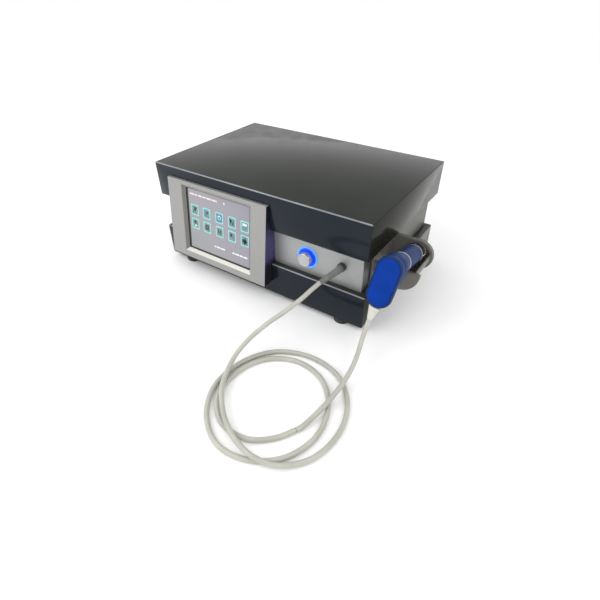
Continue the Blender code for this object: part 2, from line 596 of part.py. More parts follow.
# ---------------------------------------------------------------- cable outlet and cord
def make_outlet():
    face = FRONT_FACE - GAP
    gland = [(0, 0.0050), (0.0070, 0.0050), (0.0080, 0.0060), (0.0080, face), (0.0060, face),
             (0.0060, 0.0300), (0, 0.0300)]
    turned("cord_gland", gland, OUTLET, "Y", DARK_PLASTIC, console)
    turned("gland_nut", tube(0.0100, 0.0073, FRONT_INNER + GAP, FRONT_INNER + 0.0053), OUTLET, "Y",
           DARK_PLASTIC, console, sides=6)
    route = [(OUTLET[0], 0.0045, OUTLET[1]), (OUTLET[0], -0.0005, OUTLET[1]), (0.1856, -0.0050, 0.1166),
             (0.1800, -0.0120, 0.1118), (0.1740, -0.0205, 0.1068), (0.1694, -0.0308, 0.1029)]
    path = smooth_line(route, 10)
    swept("cord_sleeve", path, [0.0068 - 0.0022 * i / (len(path) - 1) for i in range(len(path))],
          SLEEVE_RUBBER, console)
    cord("applicator_cord", LOOP_ROUTE, LOOP_POINTS, CORD_JACKET, console)
    cord("applicator_cord_riser", RISER_ROUTE, RISER_POINTS, CORD_JACKET, console)


# ---------------------------------------------------------------- holder
def make_holder():
    """One moulding: a foot on the chassis side, a shallow cup at the rear with a hole in its floor for the
    treatment head, the front lobe and the trough between them."""
    root = SIDE_OUTER + GAP
    foot_face = root + HOLDER_FOOT
    overlap = 0.0010
    holder = block("applicator_holder", (root, HOLDER_Y[0], HOLDER_Z[0]),
                   (foot_face, HOLDER_Y[1], HOLDER_Z[1]), TAUPE, console, rounding=0.0008)
    ring = [(foot_face - overlap, HOLDER_Z[1]), (RING_CENTRE[0], HOLDER_Z[1])]
    ring += arc(RING_CENTRE, RING_RADIUS, 84, -100, 40)
    ring += [(foot_face - overlap, RING_CENTRE[1] - RING_RADIUS + 0.0030)]
    combine(holder, prism("holder_ring", ring, "Y", *RING_FACES, None, console), "UNION")
    lobe_top = LOBE_CENTRE[1] + 0.0030
    lobe = [(foot_face - overlap, lobe_top), (LOBE_CENTRE[0] + LOBE_RADIUS, lobe_top)]
    lobe += arc(LOBE_CENTRE, LOBE_RADIUS, 0, -150, 36)
    lobe += [(foot_face - overlap, LOBE_CENTRE[1] - LOBE_RADIUS * 0.5)]
    combine(holder, prism("holder_lobe", lobe, "Y", *LOBE_FACES, None, console), "UNION")
    outer, inner = RING_HOLE + 0.0030, RING_HOLE
    wall = arc(RING_CENTRE, outer, 15, -165, 36) + arc(RING_CENTRE, inner, -165, 15, 36)
    trough = prism("holder_trough", wall, "Y", LOBE_FACES[1] - overlap, RING_FACES[0] + overlap, None,
                   console)
    combine(holder, trough, "UNION")
    mouth, floor = 0.0020, RING_FACES[1] - 0.0025
    bore = [(0, RING_FACES[0] - 0.0005), (RING_HOLE + mouth, RING_FACES[0] - 0.0005),
            (RING_HOLE, RING_FACES[0] + mouth), (RING_HOLE, floor), (0, floor)]
    combine(holder, turned("holder_bore", bore, RING_CENTRE, "Y", None, console, sides=64), "DIFFERENCE")
    saddle = turned("holder_saddle", disc(BARREL_RADIUS + 0.0006, 0.0450, 0.0900), (0, 0), "Y", None,
                    applicator, sides=32)
    combine(holder, saddle, "DIFFERENCE")
    passage = turned("holder_passage", disc(HEAD_RADIUS + 0.0010, 0.1200, 0.1580), (0, 0), "Y", None,
                     applicator, sides=48)
    combine(holder, passage, "DIFFERENCE")
    drill([holder], "holder_screw_holes", HOLDER_SCREWS, "X", 0.0018, 0.220, 0.240, console, sides=8)
    turned_set("holder_screw", screw(0.0030, 0.0018, 0.0014, 0.0085, foot_face + GAP, 1), HOLDER_SCREWS, "X",
               SCREW_STEEL, console, sides=10)


# ---------------------------------------------------------------- applicator
def racetrack(radius, drop, along, steps=14):
    """A section across the barrel: a half circle over the barrel's axis and another one below it by drop."""
    points = []
    for i in range(2 * steps):
        turn = math.pi * (i + 0.5) / steps
        lower = drop if i >= steps else 0.0
        points.append((radius * math.cos(turn), along, radius * math.sin(turn) - lower))
    return points


def make_applicator():
    outside = [(0.0000, 0.0196, GRIP_DROP), (0.0015, 0.0212, GRIP_DROP), (0.0045, GRIP_RADIUS, GRIP_DROP),
               (0.0085, 0.0220, GRIP_DROP), (0.0112, 0.0206, 0.0455), (0.0125, 0.0200, 0.0400),
               (0.0150, 0.0200, 0.0260), (0.0200, 0.0212, 0.0150), (0.0270, 0.0214, 0.0085),
               (0.0350, 0.0204, 0.0040), (0.0430, 0.0185, 0.0014), (BODY_END, BARREL_RADIUS, 0.0)]
    inside = [(BODY_END, 0.0145, 0.0), (0.0350, 0.0165, 0.0010), (0.0200, 0.0175, 0.0060),
              (0.0110, 0.0175, 0.0160), (0.0085, 0.0175, 0.0400), (0.0075, 0.0178, GRIP_DROP),
              (0.0025, 0.0178, GRIP_DROP), (0.0025, CAP_RADIUS + GAP, GRIP_DROP),
              (0.0, CAP_RADIUS + GAP, GRIP_DROP)]
    loft("handpiece_body", [racetrack(radius, drop, along) for along, radius, drop in outside + inside],
         GREY_BLUE, applicator, closed_loop=True)
    cap = [(-0.0008, CAP_RADIUS - 0.0014), (0.0002, CAP_RADIUS), (0.0022, CAP_RADIUS)]
    loft("end_cap", [racetrack(radius, GRIP_DROP, along) for along, radius in cap], BLUE, applicator)
    ring_end = BODY_END + GAP + 0.0022
    turned("seam_ring", tube(0.0175, 0.0145, BODY_END + GAP, ring_end), (0, 0), "Y", SILVER, applicator)
    turned("handpiece_barrel", tube(BARREL_RADIUS, 0.0145, ring_end + GAP, BARREL_END), (0, 0), "Y",
           GREY_BLUE, applicator, sides=28)
    collar = [(BARREL_RADIUS, BARREL_END + GAP), (BARREL_RADIUS, COLLAR_END - 0.0015), (0.0150, COLLAR_END),
              (HEAD_RADIUS + GAP, COLLAR_END), (HEAD_RADIUS + GAP, BARREL_END + GAP)]
    turned("nose_collar", collar, (0, 0), "Y", PALE_PLASTIC, applicator, sides=28)
    head_start = BARREL_END - 0.0080
    head = [(HEAD_RADIUS, head_start), (HEAD_RADIUS, TIP - 0.0010), (HEAD_RADIUS - 0.0010, TIP), (0, TIP),
            (0, TIP - 0.0020), (HEAD_RADIUS - 0.0020, TIP - 0.0020), (HEAD_RADIUS - 0.0020, head_start)]
    turned("transducer_head", head, (0, 0), "Y", STEEL, applicator)
    turned("piezo_disc", disc(0.0095, TIP - 0.0045, TIP - 0.0020 - GAP), (0, 0), "Y", CERAMIC, applicator)
    block("matching_board", (-0.0070, 0.0550, -0.0008), (0.0070, 0.0980, 0.0008), BOARD, applicator)
    make_relief()


def make_relief():
    """The sleeve under the grip, wider across the grip than along the barrel."""
    top = -(GRIP_DROP + 0.0220 + GAP)
    rings = []
    for i in range(9):
        part = i / 8
        wide = 0.0082 - 0.0034 * part
        deep = 0.0062 - 0.0014 * part
        turns = [2 * math.pi * k / 16 for k in range(16)]
        rings.append([(wide * math.cos(t), GRIP_MIDDLE + deep * math.sin(t), top - RELIEF_LENGTH * part)
                      for t in turns])
    loft("handpiece_relief", rings, PALE_PLASTIC, applicator)


# ---------------------------------------------------------------- power entry
INLET_HALF_X, INLET_HALF_Z = 0.0150, 0.0290
INLET_FRONT = REAR_FACE + 0.0030
INLET_DEPTH = 0.0250
ROCKER_Z, SOCKET_Z, DRAWER_Z = INLET_Z + 0.0180, INLET_Z - 0.0020, INLET_Z - 0.0205
ROCKER_HALF = 0.0088
ROCKER_PIVOT_Y = INLET_FRONT - 0.0040
DRAWER_HALF_X, DRAWER_HALF_Z, DRAWER_DEPTH = 0.0125, 0.0055, 0.0200


def make_power_entry():
    back = INLET_FRONT - INLET_DEPTH
    inlet = block("power_inlet", (INLET_X - INLET_HALF_X, back, INLET_Z - INLET_HALF_Z),
                  (INLET_X + INLET_HALF_X, INLET_FRONT, INLET_Z + INLET_HALF_Z), DARK_PLASTIC, console)
    reach_x, reach_z = INLET_HALF_X + 0.0030, INLET_HALF_Z + 0.0030
    flange = block("inlet_flange", (INLET_X - reach_x, REAR_FACE + GAP, INLET_Z - reach_z),
                   (INLET_X + reach_x, INLET_FRONT, INLET_Z + reach_z), None, console)
    combine(inlet, flange, "UNION")
    outside = INLET_FRONT + 0.005
    socket = [(-0.0120, -0.0080), (0.0120, -0.0080), (0.0120, 0.0050), (0.0085, 0.0085),
              (-0.0085, 0.0085), (-0.0120, 0.0050)]
    socket = [(INLET_X + x, SOCKET_Z + z) for x, z in socket]
    socket_bay = prism("inlet_socket", socket, "Y", INLET_FRONT - 0.0170, outside, None, console)
    combine(inlet, socket_bay, "DIFFERENCE")
    cut_box([inlet], "inlet_drawer_bay",
            (INLET_X - DRAWER_HALF_X - GAP, INLET_FRONT - DRAWER_DEPTH - GAP, DRAWER_Z - DRAWER_HALF_Z - GAP),
            (INLET_X + DRAWER_HALF_X + GAP, outside, DRAWER_Z + DRAWER_HALF_Z + GAP), console)
    cut_box([inlet], "inlet_rocker_bay", (INLET_X - 0.0105, ROCKER_PIVOT_Y - 0.0100, ROCKER_Z - 0.0098),
            (INLET_X + 0.0105, outside, ROCKER_Z + 0.0098), console)
    blade_back, blade_front = INLET_FRONT - 0.0180, INLET_FRONT - 0.0030
    blades = [((INLET_X + x - 0.0010, blade_back, SOCKET_Z + z - 0.0020),
               (INLET_X + x + 0.0010, blade_front, SOCKET_Z + z + 0.0020))
              for x, z in ((-0.0070, -0.0015), (0.0, 0.0025), (0.0070, -0.0015))]
    combine(inlet, blocks_helper("inlet_blades", blades, console), "UNION")
    make_rocker()
    make_fuse_drawer()


def make_rocker():
    """A rocker whose front is a shallow V, resting with its lower half pressed in."""
    pivot = make_empty("rocker_frame", (INLET_X, ROCKER_PIVOT_Y, ROCKER_Z), console,
                       Matrix.Rotation(math.radians(-8.0), 4, "X"))
    outline = [(0.0052, -ROCKER_HALF), (0.0040, 0.0), (0.0052, ROCKER_HALF)]
    outline += arc((0, 0), 0.0080, 75, 285, 10)
    prism("power_rocker", outline, "X", -0.0100, 0.0100, DARK_PLASTIC, pivot)


def make_fuse_drawer():
    front = INLET_FRONT + 0.0012
    back = INLET_FRONT - DRAWER_DEPTH
    drawer = block("fuse_drawer", (INLET_X - DRAWER_HALF_X, back, DRAWER_Z - DRAWER_HALF_Z),
                   (INLET_X + DRAWER_HALF_X, front, DRAWER_Z + DRAWER_HALF_Z), DARK_PLASTIC, console)
    cut_box([drawer], "drawer_hollow", (INLET_X - DRAWER_HALF_X + 0.0012, back + 0.0016, DRAWER_Z - 0.0038),
            (INLET_X + DRAWER_HALF_X - 0.0012, back + 0.0158, DRAWER_Z + 0.0100), console)
    turned("fuse_link", disc(0.0026, INLET_X - 0.0100, INLET_X + 0.0100), (back + 0.0085, DRAWER_Z),
           "X", FUSE_GLASS, console, sides=12)


# ---------------------------------------------------------------- electronics and cooling
def make_electronics():
    block("power_supply", (*SUPPLY_LOW, FLOOR_FACE + GAP), (*SUPPLY_HIGH, FLOOR_FACE + SUPPLY_HEIGHT), STEEL,
          console, rounding=0.0010)
    board = block("generator_board", (BOARD_X[0], BOARD_Y[0], BOARD_LOW),
                  (BOARD_X[1], BOARD_Y[1], BOARD_LOW + BOARD_THICK), BOARD, console)
    parts = [((0.0000, 0.0800), (0.0300, 0.0950), 0.0120), ((0.0500, 0.0750), (0.0700, 0.0950), 0.0180),
             ((-0.0100, 0.1900), (0.0200, 0.2150), 0.0080), ((0.1300, 0.0750), (0.1500, 0.1000), 0.0150)]
    raised = [((*low, BOARD_LOW + 0.0005), (*high, BOARD_LOW + BOARD_THICK + height))
              for low, high, height in parts]
    combine(board, blocks_helper("generator_parts", raised, console), "UNION")
    surface = BOARD_LOW + BOARD_THICK + GAP
    turned("output_transformer", tube(0.0190, 0.0080, surface, surface + 0.0160), (0.0150, 0.1450), "Z",
           COPPER, console)
    make_heat_sink(surface)
    stud = [(0, FLOOR_FACE + GAP), (0.0060, FLOOR_FACE + GAP), (0.0060, FLOOR_FACE + 0.0035),
            (0.0025, FLOOR_FACE + 0.0035), (0.0025, FLOOR_FACE + 0.0160), (0, FLOOR_FACE + 0.0160)]
    turned("earth_stud", stud, GROUND_STUD, "Z", BRASS, console, sides=6)
    inlet_back = INLET_FRONT - INLET_DEPTH - GAP
    supply_top = FLOOR_FACE + SUPPLY_HEIGHT + GAP
    mains = smooth_line([(INLET_X, inlet_back - GAP, INLET_Z), (INLET_X, inlet_back - 0.006, INLET_Z),
                         (INLET_X + 0.002, inlet_back - 0.014, INLET_Z - 0.009),
                         (INLET_X + 0.008, inlet_back - 0.022, INLET_Z - 0.030),
                         (INLET_X + 0.010, inlet_back - 0.024, supply_top + 0.005),
                         (INLET_X + 0.010, inlet_back - 0.024, supply_top)], 12)
    swept("mains_loom", mains, [0.0030] * len(mains), WIRE, console, sides=8)
    lead = smooth_line([(OUTLET[0], 0.0306, OUTLET[1]), (OUTLET[0], 0.0380, OUTLET[1]),
                        (0.1840, 0.0500, 0.1080), (0.1680, 0.0680, 0.0820), (0.1450, 0.0850, 0.0570),
                        (0.1400, 0.0880, surface + 0.0200), (0.1400, 0.0880, surface + 0.0152)], 14)
    swept("output_lead", lead, [0.0026] * len(lead), CORD_JACKET, console, sides=8)


def make_heat_sink(foot):
    """A comb of fins on a base, extruded across the board."""
    left, base, fin, pitch, count, height = 0.0550, 0.0040, 0.0016, 0.0080, 9, 0.0300
    outline = [(left, foot), (left + pitch * (count - 1) + fin, foot)]
    for i in reversed(range(count)):
        x = left + pitch * i
        outline += [(x + fin, foot + height), (x, foot + height)]
        if i:
            outline += [(x, foot + base), (x - pitch + fin, foot + base)]
    prism("heat_sink", outline, "Y", 0.1250, 0.1850, SATIN_SILVER, console)


def make_fan():
    back = REAR_INNER - GAP
    front = back - 0.0150
    x, z = FAN_CENTRE
    frame = block("fan_frame", (x - FAN_HALF, front, z - FAN_HALF), (x + FAN_HALF, back, z + FAN_HALF),
                  DARK_PLASTIC, console)
    drill([frame], "fan_duct", [FAN_CENTRE], "Y", 0.0288, front - 0.005, back + 0.005, console, sides=32)
    drill([frame], "fan_screw_holes", FAN_SCREWS, "Y", 0.0018, front - 0.005, back + 0.005, console, sides=8)
    combine(frame, block("fan_arm_across", (x - 0.0292, front + 0.0001, z - 0.0020),
                         (x + 0.0292, front + 0.0016, z + 0.0020), None, console), "UNION")
    combine(frame, block("fan_arm_up", (x - 0.0020, front + 0.0002, z - 0.0292),
                         (x + 0.0020, front + 0.0017, z + 0.0292), None, console), "UNION")
    combine(frame, turned("fan_motor_base", disc(0.0120, front, front + 0.0030), FAN_CENTRE, "Y", None,
                          console), "UNION")
    make_rotor(front + 0.0033, back - 0.0010)
    grille = block("fan_grille", (x - 0.0310, REAR_FACE + GAP, z - 0.0310),
                   (x + 0.0310, REAR_FACE + 0.0018, z + 0.0310), SILVER, console)
    slots = []
    for i in range(7):
        height = -0.0210 + 0.0070 * i
        reach = math.sqrt(0.0275 ** 2 - height ** 2)
        slots.append(((x - reach, REAR_FACE - 0.005, z + height - 0.0026),
                      (x + reach, REAR_FACE + 0.010, z + height + 0.0026)))
    combine(grille, blocks_helper("grille_slots", slots, console), "DIFFERENCE")
    drill([grille], "grille_screw_holes", FAN_SCREWS, "Y", 0.0018, REAR_FACE - 0.005, REAR_FACE + 0.010,
          console, sides=8)


def make_rotor(start, end):
    rotor = turned("fan_rotor", disc(0.0135, start, end), FAN_CENTRE, "Y", DARK_PLASTIC, console, sides=28)
    bm = bmesh.new()
    for blade in range(7):
        turn = 2 * math.pi * blade / 7
        rings = []
        for along, sweep in ((start + 0.0015, -0.30), (end - 0.0015, 0.30)):
            ring = []
            for radius, thick in ((0.0115, 0.0009), (0.0270, 0.0007)):
                for side in (-1, 1):
                    angle = turn + sweep + side * thick / radius
                    ring.append(bm.verts.new((FAN_CENTRE[0] + radius * math.cos(angle), along,
                                              FAN_CENTRE[1] + radius * math.sin(angle))))
            rings.append([ring[0], ring[1], ring[3], ring[2]])
        bm.faces.new(rings[0])
        bm.faces.new(rings[1])
        for i in range(4):
            j = (i + 1) % 4
            bm.faces.new((rings[0][i], rings[0][j], rings[1][j], rings[1][i]))
    combine(rotor, finish_mesh(bm, "fan_blades", None, console), "UNION")


make_covers()
make_feet()
make_chassis()
make_display()
make_knob()
make_outlet()
make_holder()
make_applicator()
make_power_entry()
make_electronics()
make_fan()
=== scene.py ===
"""Looks of the ultrasound therapy device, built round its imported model.

Points are written in the console's own frame, as in the CAD: X from the middle of the console to its right
side, Y from the covers' front face to the back, Z up from the table. CONSOLE, DISPLAY and APPLICATOR carry
points of those three frames into the row frame. Lengths are in metres.
"""

import json
import math

import bmesh
import bpy
from mathutils import Matrix, Vector
from mathutils.geometry import interpolate_bezier

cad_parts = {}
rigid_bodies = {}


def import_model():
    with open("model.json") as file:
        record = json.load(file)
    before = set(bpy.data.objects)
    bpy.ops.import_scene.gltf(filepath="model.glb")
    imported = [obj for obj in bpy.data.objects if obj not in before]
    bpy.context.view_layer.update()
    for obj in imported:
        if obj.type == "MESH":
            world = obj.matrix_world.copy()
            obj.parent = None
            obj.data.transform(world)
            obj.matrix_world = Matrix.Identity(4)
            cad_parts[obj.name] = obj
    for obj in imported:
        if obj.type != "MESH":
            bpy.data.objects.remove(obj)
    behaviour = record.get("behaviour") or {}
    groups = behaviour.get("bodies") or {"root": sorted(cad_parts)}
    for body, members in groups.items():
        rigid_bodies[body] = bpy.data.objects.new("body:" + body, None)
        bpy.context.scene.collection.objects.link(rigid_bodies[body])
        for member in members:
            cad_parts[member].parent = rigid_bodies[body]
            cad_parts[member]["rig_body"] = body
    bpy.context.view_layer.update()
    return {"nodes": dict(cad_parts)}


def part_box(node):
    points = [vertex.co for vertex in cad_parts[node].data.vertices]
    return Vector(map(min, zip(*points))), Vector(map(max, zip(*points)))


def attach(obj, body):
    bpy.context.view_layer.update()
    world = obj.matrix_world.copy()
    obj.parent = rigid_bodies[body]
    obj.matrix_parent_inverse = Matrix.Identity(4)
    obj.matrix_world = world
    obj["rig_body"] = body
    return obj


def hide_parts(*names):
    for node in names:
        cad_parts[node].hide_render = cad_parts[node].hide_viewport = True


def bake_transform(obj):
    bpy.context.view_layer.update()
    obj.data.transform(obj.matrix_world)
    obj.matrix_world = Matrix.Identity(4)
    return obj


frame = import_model()
nodes = frame["nodes"]

# ---------------- frames
cover_low, cover_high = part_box("top_cover")
CONSOLE = Matrix.Translation(((cover_low.x + cover_high.x) / 2, cover_low.y, 0.0))
BEZEL_SETBACK, BEZEL_HEIGHT = 0.0200, 0.1590
BEZEL_FOOT = (0.0, -0.0260, 0.0390)
BEZEL_LEAN = math.atan2(BEZEL_SETBACK, BEZEL_HEIGHT)
DISPLAY = CONSOLE @ Matrix.Translation(BEZEL_FOOT) @ Matrix.Rotation(-BEZEL_LEAN, 4, "X")
GRIP_FACE = (0.2794, -0.0144, 0.1598)
BARREL_NOD, BARREL_ROLL = math.radians(-14.0), math.radians(8.4)
APPLICATOR = (CONSOLE @ Matrix.Translation(GRIP_FACE)
              @ Matrix.Rotation(BARREL_NOD, 4, "X") @ Matrix.Rotation(BARREL_ROLL, 4, "Y"))

# ---------------- sizes taken over from the CAD
GAP = 0.0003
FRONT_FACE = 0.0130
REAR_FACE = 0.3080
CONSOLE_DEPTH = 0.3160
KNOB_CENTRE = (0.1159, 0.1118)
KNOB_RADIUS, KNOB_FRONT, KNOB_BACK = 0.0132, -0.0012, 0.0102
LIGHT_RING_RADIUS = 0.0204
FOOT_RADIUS, FOOT_TOP = 0.0165, 0.0097
FOOT_OFFSET = 0.1920
OUTLET = (0.1870, 0.1178)
CORD_RADIUS = 0.0040
GLASS_LEFT, GLASS_RIGHT = -0.1640, 0.0065
GLASS_LOW, GLASS_HIGH = 0.0145, 0.1520
GLASS_FRONT, GLASS_BACK = 0.0068, 0.0086
CAP_RADIUS, GRIP_RADIUS, BARREL_RADIUS, HEAD_RADIUS = 0.0188, 0.0222, 0.0170, 0.0122
GRIP_DROP = 0.0464
BORE_RADIUS, HEAD_BORE = 0.0145, 0.0102
BODY_END, BARREL_END, COLLAR_END, TIP = 0.0500, 0.1080, 0.1140, 0.1680
HEAD_START, HEAD_STEP = 0.1000, 0.1600
GRIP_MIDDLE = 0.0062
RELIEF_LENGTH = 0.0240
HOLDER_FOOT_FACE = 0.2303
CUP_CENTRE, CUP_FLOOR_RADIUS, CUP_DEPTH = (0.2794, 0.1199), 0.0206, 0.0035
COVER_SCREWS = [(x, z) for z in (0.0400, 0.1880) for x in (-0.1900, 0.1900)]
HOLDER_SCREWS = [(y, z) for y in (0.0590, 0.1110) for z in (0.09125, 0.14125)]
REAR_SCREWS = [(x, z) for x in (-0.2150, -0.0300, 0.2150) for z in (0.0840, 0.1440)]
FAN_SCREWS = [(x, z) for x in (0.1200, 0.1700) for z in (0.0890, 0.1390)]
FAN_GRILLE_STAND = 0.0020

# The centreline of the cord: its loops on the table, then the rise to the grip. The rise ends on an arc of
# 46 mm radius that runs into the sleeve under the grip.
LOOP_ROUTE = [
    (0.1692, -0.0313, 0.1027), (0.1650, -0.0440, 0.0982), (0.1590, -0.0670, 0.0905),
    (0.1450, -0.0950, 0.0755), (0.1230, -0.1230, 0.0545), (0.1070, -0.1530, 0.0345),
    (0.1030, -0.1810, 0.0225), (0.1090, -0.2090, 0.0158), (0.1220, -0.2380, 0.0128),
    (0.1450, -0.2640, 0.0118), (0.1730, -0.2860, 0.0132), (0.2060, -0.3010, 0.0118),
    (0.2400, -0.3070, 0.0132), (0.2690, -0.2985, 0.0090), (0.2860, -0.2840, 0.0060),
    (0.2995, -0.2670, 0.0047), (0.3130, -0.2180, 0.0043), (0.3010, -0.1610, 0.0042),
    (0.2600, -0.1160, 0.0042), (0.1980, -0.1040, 0.0042), (0.1420, -0.1270, 0.0042),
    (0.1090, -0.1800, 0.0042), (0.1060, -0.2370, 0.0042), (0.1360, -0.2890, 0.0042),
    (0.1850, -0.3165, 0.0042), (0.2310, -0.3110, 0.0042), (0.2700, -0.2820, 0.0042),
    (0.2890, -0.2310, 0.0042), (0.2760, -0.1750, 0.0042), (0.2370, -0.1340, 0.0042),
    (0.1850, -0.1250, 0.0042), (0.1370, -0.1520, 0.0042), (0.1170, -0.2040, 0.0042),
    (0.1270, -0.2560, 0.0042), (0.1640, -0.2860, 0.0042), (0.2110, -0.2860, 0.0042),
    (0.2450, -0.2600, 0.0042), (0.2590, -0.2370, 0.0042),
]
RISER_ROUTE = [
    (0.25950, -0.23620, 0.00420), (0.26220, -0.23150, 0.00460), (0.26800, -0.21200, 0.00720),
    (0.27350, -0.18600, 0.01170), (0.27650, -0.15600, 0.01500), (0.27700, -0.12600, 0.01770),
    (0.27520, -0.10000, 0.02210), (0.27160, -0.07800, 0.02770), (0.26850, -0.06420, 0.03200),
    (0.26585, -0.05331, 0.03698), (0.26451, -0.04451, 0.04381), (0.26419, -0.03744, 0.05250),
    (0.26474, -0.03306, 0.06104), (0.26581, -0.03064, 0.06903),
]
SLEEVE_ROUTE = [
    (0.1870, 0.0045, 0.1178), (0.1870, -0.0005, 0.1178), (0.1856, -0.0050, 0.1166),
    (0.1800, -0.0120, 0.1118), (0.1740, -0.0205, 0.1068), (0.1694, -0.0308, 0.1029),
]

# ---------------- view and lights
CAMERA_PLACE = (0.4686, -0.5317, 0.5257)
CAMERA_RIGHT = Vector((0.8295, 0.5585, -0.0052))
CAMERA_DOWN = Vector((0.3426, -0.5162, -0.7849))
CAMERA_AHEAD = Vector((-0.4411, 0.6493, -0.6195))
SENSOR_WIDTH, LENS = 36.0, 25.59
WORLD_STRENGTH = 1.06
FLOOR_HALF, FLOOR_DROP = 14.0, 0.0004
# A light's name, its place, what it looks at, its side in metres and its power in watts.
LIGHTS = [
    ("key", (-0.75, -1.05, 1.2), (0.0, 0.05, 0.1), 1.2, 11.0),
    ("fill", (1.3, -0.5, 1.0), (0.1, 0.1, 0.1), 0.8, 4.0),
]


# ---------------- materials
class Finish:
    """A procedural material: a Principled shader fed by noises in the object's own coordinates."""

    def __init__(self, name, roughness, metallic=0.0, **sockets):
        self.material = bpy.data.materials.new(name)
        self.material.use_nodes = True
        self.tree = self.material.node_tree
        self.shader = self.tree.nodes["Principled BSDF"]
        self.shader.inputs["Roughness"].default_value = roughness
        self.shader.inputs["Metallic"].default_value = metallic
        for socket, value in sockets.items():
            self.shader.inputs[socket.replace("_", " ")].default_value = value
        self.place = self.node("ShaderNodeTexCoord").outputs["Object"]
        self.height = None

    def node(self, kind, **values):
        made = self.tree.nodes.new(kind)
        for socket, value in values.items():
            made.inputs[socket.replace("_", " ")].default_value = value
        return made

    def link(self, source, target):
        self.tree.links.new(source, target)

    def stretched(self, scale):
        """The object's coordinates, multiplied by scale along each axis."""
        mapping = self.node("ShaderNodeMapping", Scale=scale)
        self.link(self.place, mapping.inputs["Vector"])
        return mapping.outputs["Vector"]

    def noise(self, scale, detail=3.0, stretch=None):
        made = self.node("ShaderNodeTexNoise", Scale=scale, Detail=detail)
        self.link(self.stretched(stretch) if stretch else self.place, made.inputs["Vector"])
        return made.outputs["Fac"]

    def ramp(self, factor, stops):
        made = self.node("ShaderNodeValToRGB")
        elements = made.color_ramp.elements
        while len(elements) < len(stops):
            elements.new(0.5)
        for element, (position, colour) in zip(elements, stops):
            element.position = position
            element.color = (*colour, 1.0)
        self.link(factor, made.inputs["Fac"])
        return made.outputs["Color"]

    def colour(self, scale, dark, light, detail=3.0, stretch=None, low=0.35, high=0.65):
        """A base colour that drifts between two near tones."""
        tones = self.ramp(self.noise(scale, detail, stretch), [(low, dark), (high, light)])
        self.link(tones, self.shader.inputs["Base Color"])
        return self

    def polish(self, scale, low, high, detail=4.0, stretch=None):
        """A roughness that drifts between two values."""
        spread = self.node("ShaderNodeMapRange", From_Min=0.3, From_Max=0.7, To_Min=low, To_Max=high)
        self.link(self.noise(scale, detail, stretch), spread.inputs["Value"])
        self.link(spread.outputs["Result"], self.shader.inputs["Roughness"])
        return self

    def bump(self, factor, distance, strength=1.0):
        """Relief from a factor; a later one lies on the earlier ones."""
        made = self.node("ShaderNodeBump", Strength=strength, Distance=distance)
        self.link(factor, made.inputs["Height"])
        if self.height is not None:
            self.link(self.height, made.inputs["Normal"])
        self.height = made.outputs["Normal"]
        self.link(self.height, self.shader.inputs["Normal"])
        return self

    def grain(self, scale, distance, detail=2.0, stretch=None, strength=1.0):
        return self.bump(self.noise(scale, detail, stretch), distance, strength)

    def glow(self, colour, strength):
        self.shader.inputs["Emission Color"].default_value = (*colour, 1.0)
        self.shader.inputs["Emission Strength"].default_value = strength
        return self


def plastic(name, dark, light, rough, grain_scale, grain_depth, **sockets):
    """Moulded plastic: faint drift of tone, handled polish and a fine spark-eroded grain."""
    made = Finish(name, sum(rough) / 2, **sockets)
    made.colour(26.0, dark, light).polish(60.0, *rough).grain(grain_scale, grain_depth)
    return made.material


def metal(name, dark, light, rough, brush=None, depth=0.00001, metallic=1.0, **sockets):
    """Metal or metallic paint, brushed along the axis where brush has its small number."""
    made = Finish(name, sum(rough) / 2, metallic, **sockets)
    made.colour(40.0, dark, light, 4.0, brush).polish(90.0, *rough, 4.0, brush)
    made.grain(900.0, depth, 2.0, brush)
    return made.material


def gloss_cover(name, dark, light, gloss):
    """Gloss moulding with orange peel, a few rub marks and a trace of dust."""
    made = Finish(name, 0.12, Specular_IOR_Level=gloss)
    made.colour(9.0, dark, light, 5.0)
    made.polish(34.0, 0.10, 0.19, 8.0).grain(140.0, 0.00001, 1.0).grain(1400.0, 0.000004, 2.0)
    return made.material


def screen_image():
    """The lit panel: grey with a green cast low on the left and lilac towards the upper right."""
    made = Finish("screen_backlight", 0.10, Coat_Weight=0.5, Coat_Roughness=0.04)
    split = made.node("ShaderNodeSeparateXYZ")
    made.link(made.place, split.inputs["Vector"])
    across = made.node("ShaderNodeMapRange", From_Min=-0.190, From_Max=-0.020, To_Min=0.0, To_Max=0.62)
    up = made.node("ShaderNodeMapRange", From_Min=0.060, From_Max=0.190, To_Min=0.0, To_Max=0.38)
    made.link(split.outputs["X"], across.inputs["Value"])
    made.link(split.outputs["Z"], up.inputs["Value"])
    total = made.node("ShaderNodeMath")
    made.link(across.outputs["Result"], total.inputs[0])
    made.link(up.outputs["Result"], total.inputs[1])
    haze = made.node("ShaderNodeMapRange", From_Min=0.3, From_Max=0.7, To_Min=-0.07, To_Max=0.07)
    made.link(made.noise(22.0, 2.0), haze.inputs["Value"])
    drift = made.node("ShaderNodeMath")
    made.link(total.outputs[0], drift.inputs[0])
    made.link(haze.outputs["Result"], drift.inputs[1])
    tones = made.ramp(drift.outputs[0], [(0.0, (0.185, 0.205, 0.200)), (0.35, (0.215, 0.208, 0.225)),
                                         (0.62, (0.205, 0.196, 0.228)), (1.0, (0.180, 0.178, 0.212))])
    made.link(tones, made.shader.inputs["Base Color"])
    made.link(tones, made.shader.inputs["Emission Color"])
    made.shader.inputs["Emission Strength"].default_value = 0.30
    made.bump(made.noise(2600.0, 0.0), 0.000003)
    return made.material


def glowing(name, colour, strength, base, rough=(0.18, 0.30)):
    """Clear or printed plastic that gives off some light of its own."""
    made = Finish(name, sum(rough) / 2, Specular_IOR_Level=0.4)
    made.colour(120.0, tuple(0.8 * c for c in base), base).polish(150.0, *rough).grain(700.0, 0.000006)
    made.glow(colour, strength)
    return made.material


